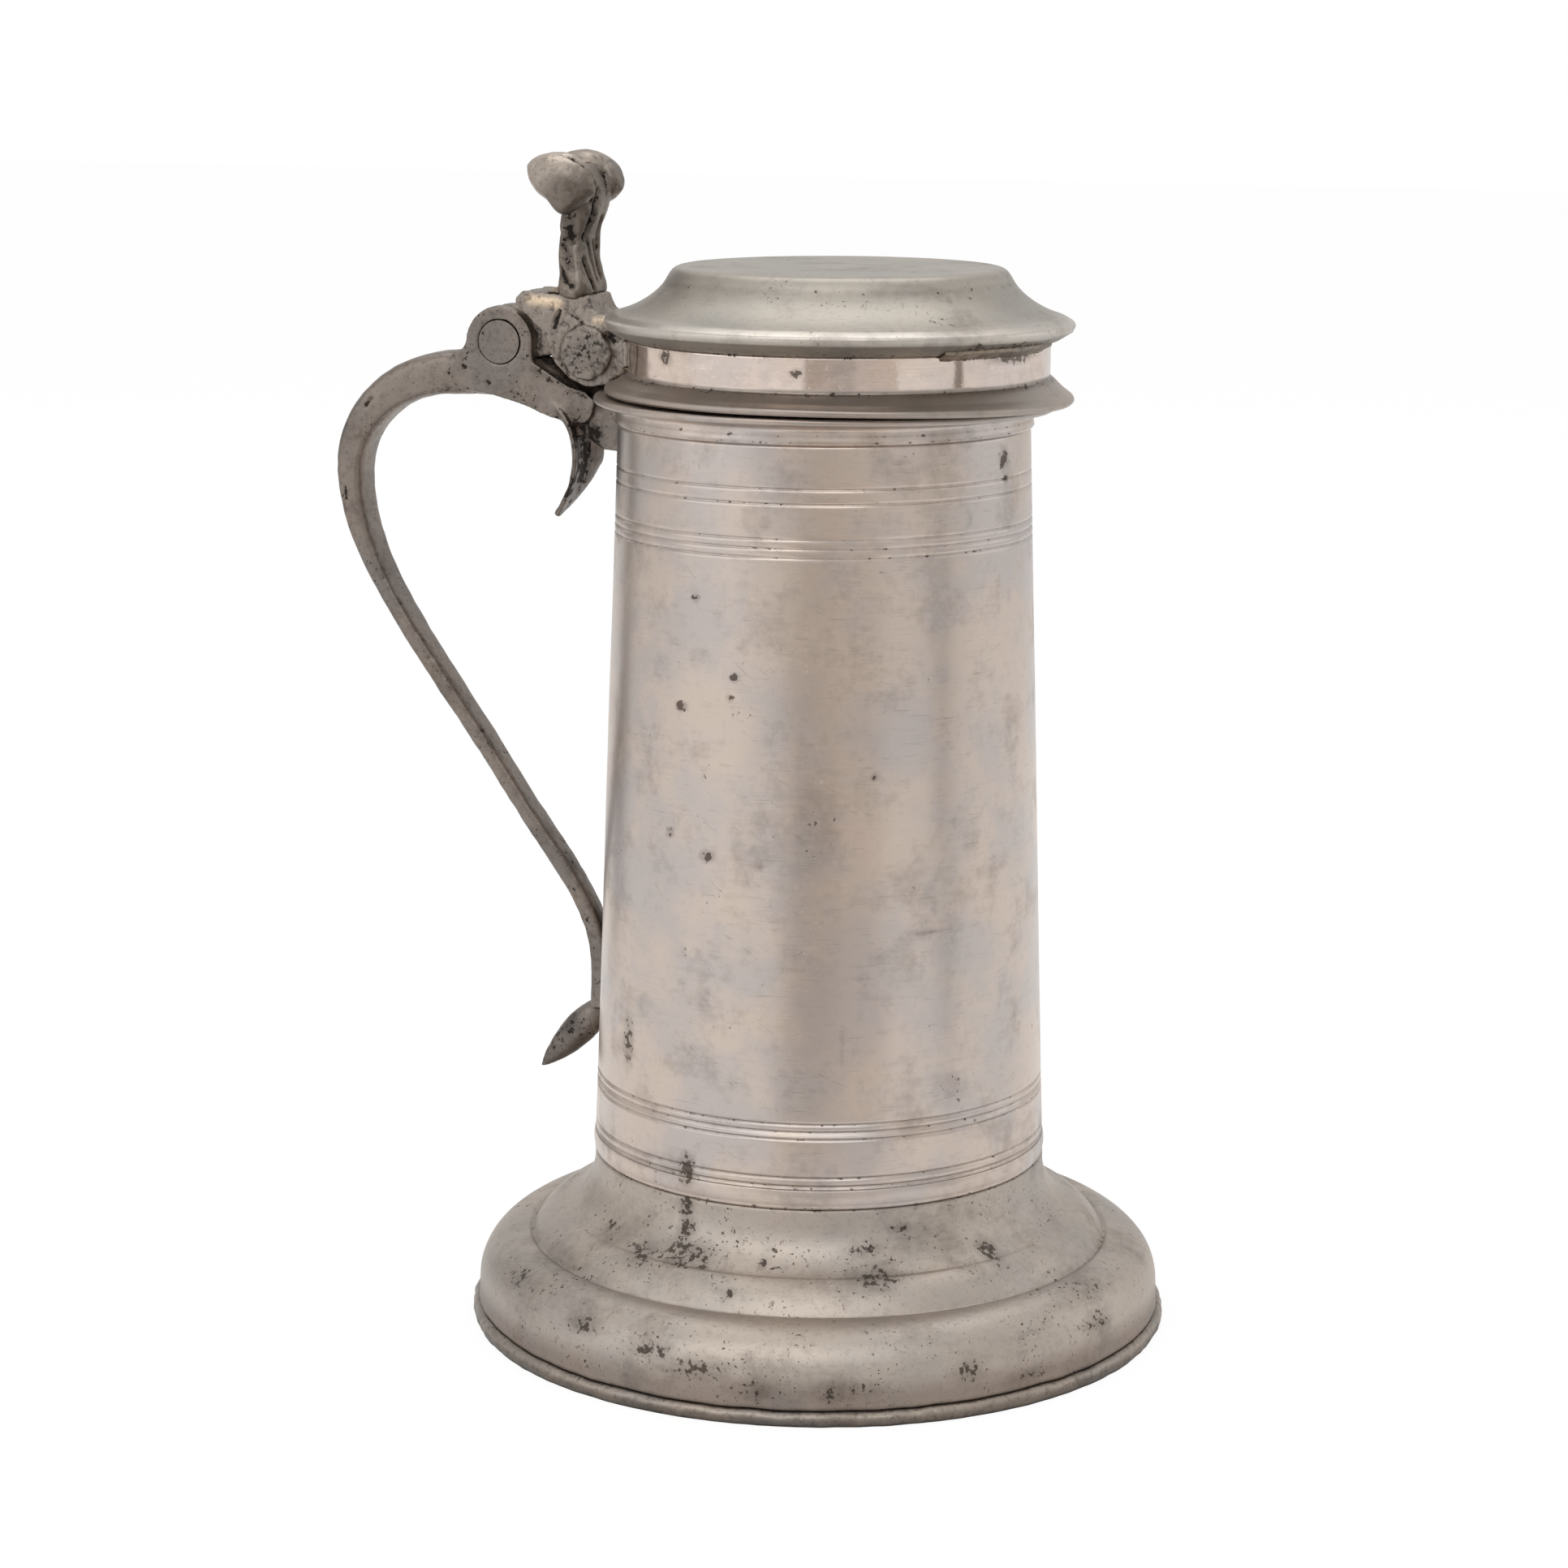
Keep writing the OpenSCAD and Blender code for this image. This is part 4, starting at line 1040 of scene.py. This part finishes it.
def white_to_camera(s, surface, white):
    """Ends a material that the camera sees as white, by that share, and all else as the surface."""
    rays = s.add("ShaderNodeLightPath")
    glow = s.add("ShaderNodeEmission", {"Color": WHITE, "Strength": GLOW})
    share = s.scale(rays.outputs["Is Camera Ray"], white)
    both = s.add("ShaderNodeMixShader", {0: share, 1: surface.outputs[0], 2: glow.outputs[0]})
    s.tree.links.new(both.outputs[0], s.output.inputs["Surface"])
    return s.material


def stage_mesh(name, points, faces, colour, white):
    """A plain matt piece of the studio, in metres."""
    s = Shader(name)
    material = white_to_camera(s, s.add("ShaderNodeBsdfDiffuse", {"Color": colour}), white)
    mesh = bpy.data.meshes.new(name)
    mesh.from_pydata(points, [], faces)
    piece = new_object(name, mesh)
    piece.data.materials.append(material)


def floor(colour):
    """A square floor under the flagon."""
    half = FLOOR_HALF
    corners = [(-half, -half, 0), (half, -half, 0), (half, half, 0), (-half, half, 0)]
    stage_mesh("floor", corners, [(0, 1, 2, 3)], colour, FLOOR_WHITE)


def panel(name, start, end, near, far, top, colour):
    """A darker panel that the pewter reflects, between two directions that are counted from the
    camera's. It lies on the floor from near to far, and stands up there."""
    rows = ((near, PANEL_LIFT), (far, PANEL_LIFT), (far, top))
    shares = [i / PANEL_STEPS for i in range(PANEL_STEPS + 1)]
    turns = [math.radians(FRONT + start + (end - start) * share) for share in shares]
    points = [(r * math.cos(t), r * math.sin(t), z) for t in turns for r, z in rows]
    faces = [(3 * i + k, 3 * i + k + 1, 3 * i + k + 4, 3 * i + k + 3)
             for i in range(PANEL_STEPS) for k in (0, 1)]
    stage_mesh(name, points, faces, colour, PANEL_WHITE)


def lamp(name, turn, distance, height, width, tall, level):
    """A soft rectangular lamp that faces the flagon, from a direction that is counted from the
    camera's. level is its brightness, where 1 is white."""
    data = bpy.data.lights.new(name, "AREA")
    data.shape = "RECTANGLE"
    data.size = width
    data.size_y = tall
    data.energy = level * math.pi * width * tall
    light = bpy.data.objects.new(name, data)
    bpy.context.scene.collection.objects.link(light)
    angle = math.radians(FRONT + turn)
    light.location = (distance * math.cos(angle), distance * math.sin(angle), height)
    aim = LAMP_AIM - light.location
    light.rotation_euler = aim.to_track_quat("-Z", "Y").to_euler()


def world(colour):
    """A pale room of this colour. The camera sees it as white."""
    data = bpy.data.worlds.new("room")
    data.use_nodes = True
    tree = data.node_tree
    tree.nodes.clear()
    output = tree.nodes.new("ShaderNodeOutputWorld")
    rays = tree.nodes.new("ShaderNodeLightPath")
    both = tree.nodes.new("ShaderNodeMixShader")
    tree.links.new(rays.outputs["Is Camera Ray"], both.inputs[0])
    for place, shade in ((1, colour), (2, WHITE)):
        background = tree.nodes.new("ShaderNodeBackground")
        background.inputs["Color"].default_value = shade
        tree.links.new(background.outputs[0], both.inputs[place])
    tree.links.new(both.outputs[0], output.inputs["Surface"])
    bpy.context.scene.world = data


CAMERA_AT = Vector((271.8, -865.9, 317.5)) * MM
CAMERA_TURN = math.radians(18)
CAMERA_DIP = math.radians(11.545)
CAMERA_ROLL = 0.0057
LENS = 87.85
SENSOR = 36.0


def camera():
    """The camera at the photograph's viewing angle."""
    data = bpy.data.cameras.new("camera")
    data.lens = LENS
    data.sensor_width = SENSOR
    view = bpy.data.objects.new("camera", data)
    bpy.context.scene.collection.objects.link(view)
    way = Vector((-math.sin(CAMERA_TURN) * math.cos(CAMERA_DIP),
                  math.cos(CAMERA_TURN) * math.cos(CAMERA_DIP), -math.sin(CAMERA_DIP)))
    turn = way.to_track_quat("-Z", "Y").to_matrix() @ Matrix.Rotation(CAMERA_ROLL, 3, "Z")
    view.matrix_world = Matrix.Translation(CAMERA_AT) @ turn.to_4x4()
    bpy.context.scene.camera = view


PANELS = (
    # name, start and end turn, near, far, top, colour
    ("front_panel_dark", -18, 8, 0.25, 3.0, 0.05, (0.52, 0.47, 0.43, 1)),
    ("front_panel_pale", 8, 31, 0.25, 3.0, 0.05, (0.68, 0.63, 0.59, 1)),
    ("left_panel", -136, -125, 0.45, 1.5, 0.4, (0.25, 0.23, 0.22, 1)),
    ("right_panel", 63, 69, 0.4, 1.5, 0.4, (0.3, 0.28, 0.26, 1)),
)
LAMPS = (
    # name, turn, distance, height, width, tall, level
    ("left", -62, 1.4, 0.7, 1.2, 1.2, 0.6),
    ("right", 105, 1.4, 0.6, 1.0, 1.0, 0.4),
    ("front", -8, 1.5, 1.7, 2.2, 1.4, 1.1),
    ("top", 180, 0.5, 1.9, 1.8, 1.2, 1.4),
)

floor((0.9, 0.9, 0.9, 1))
for PANEL in PANELS:
    panel(*PANEL)
world((0.78, 0.77, 0.76, 1))
for LAMP in LAMPS:
    lamp(*LAMP)
camera()

bpy.context.scene.view_settings.view_transform = "Standard"
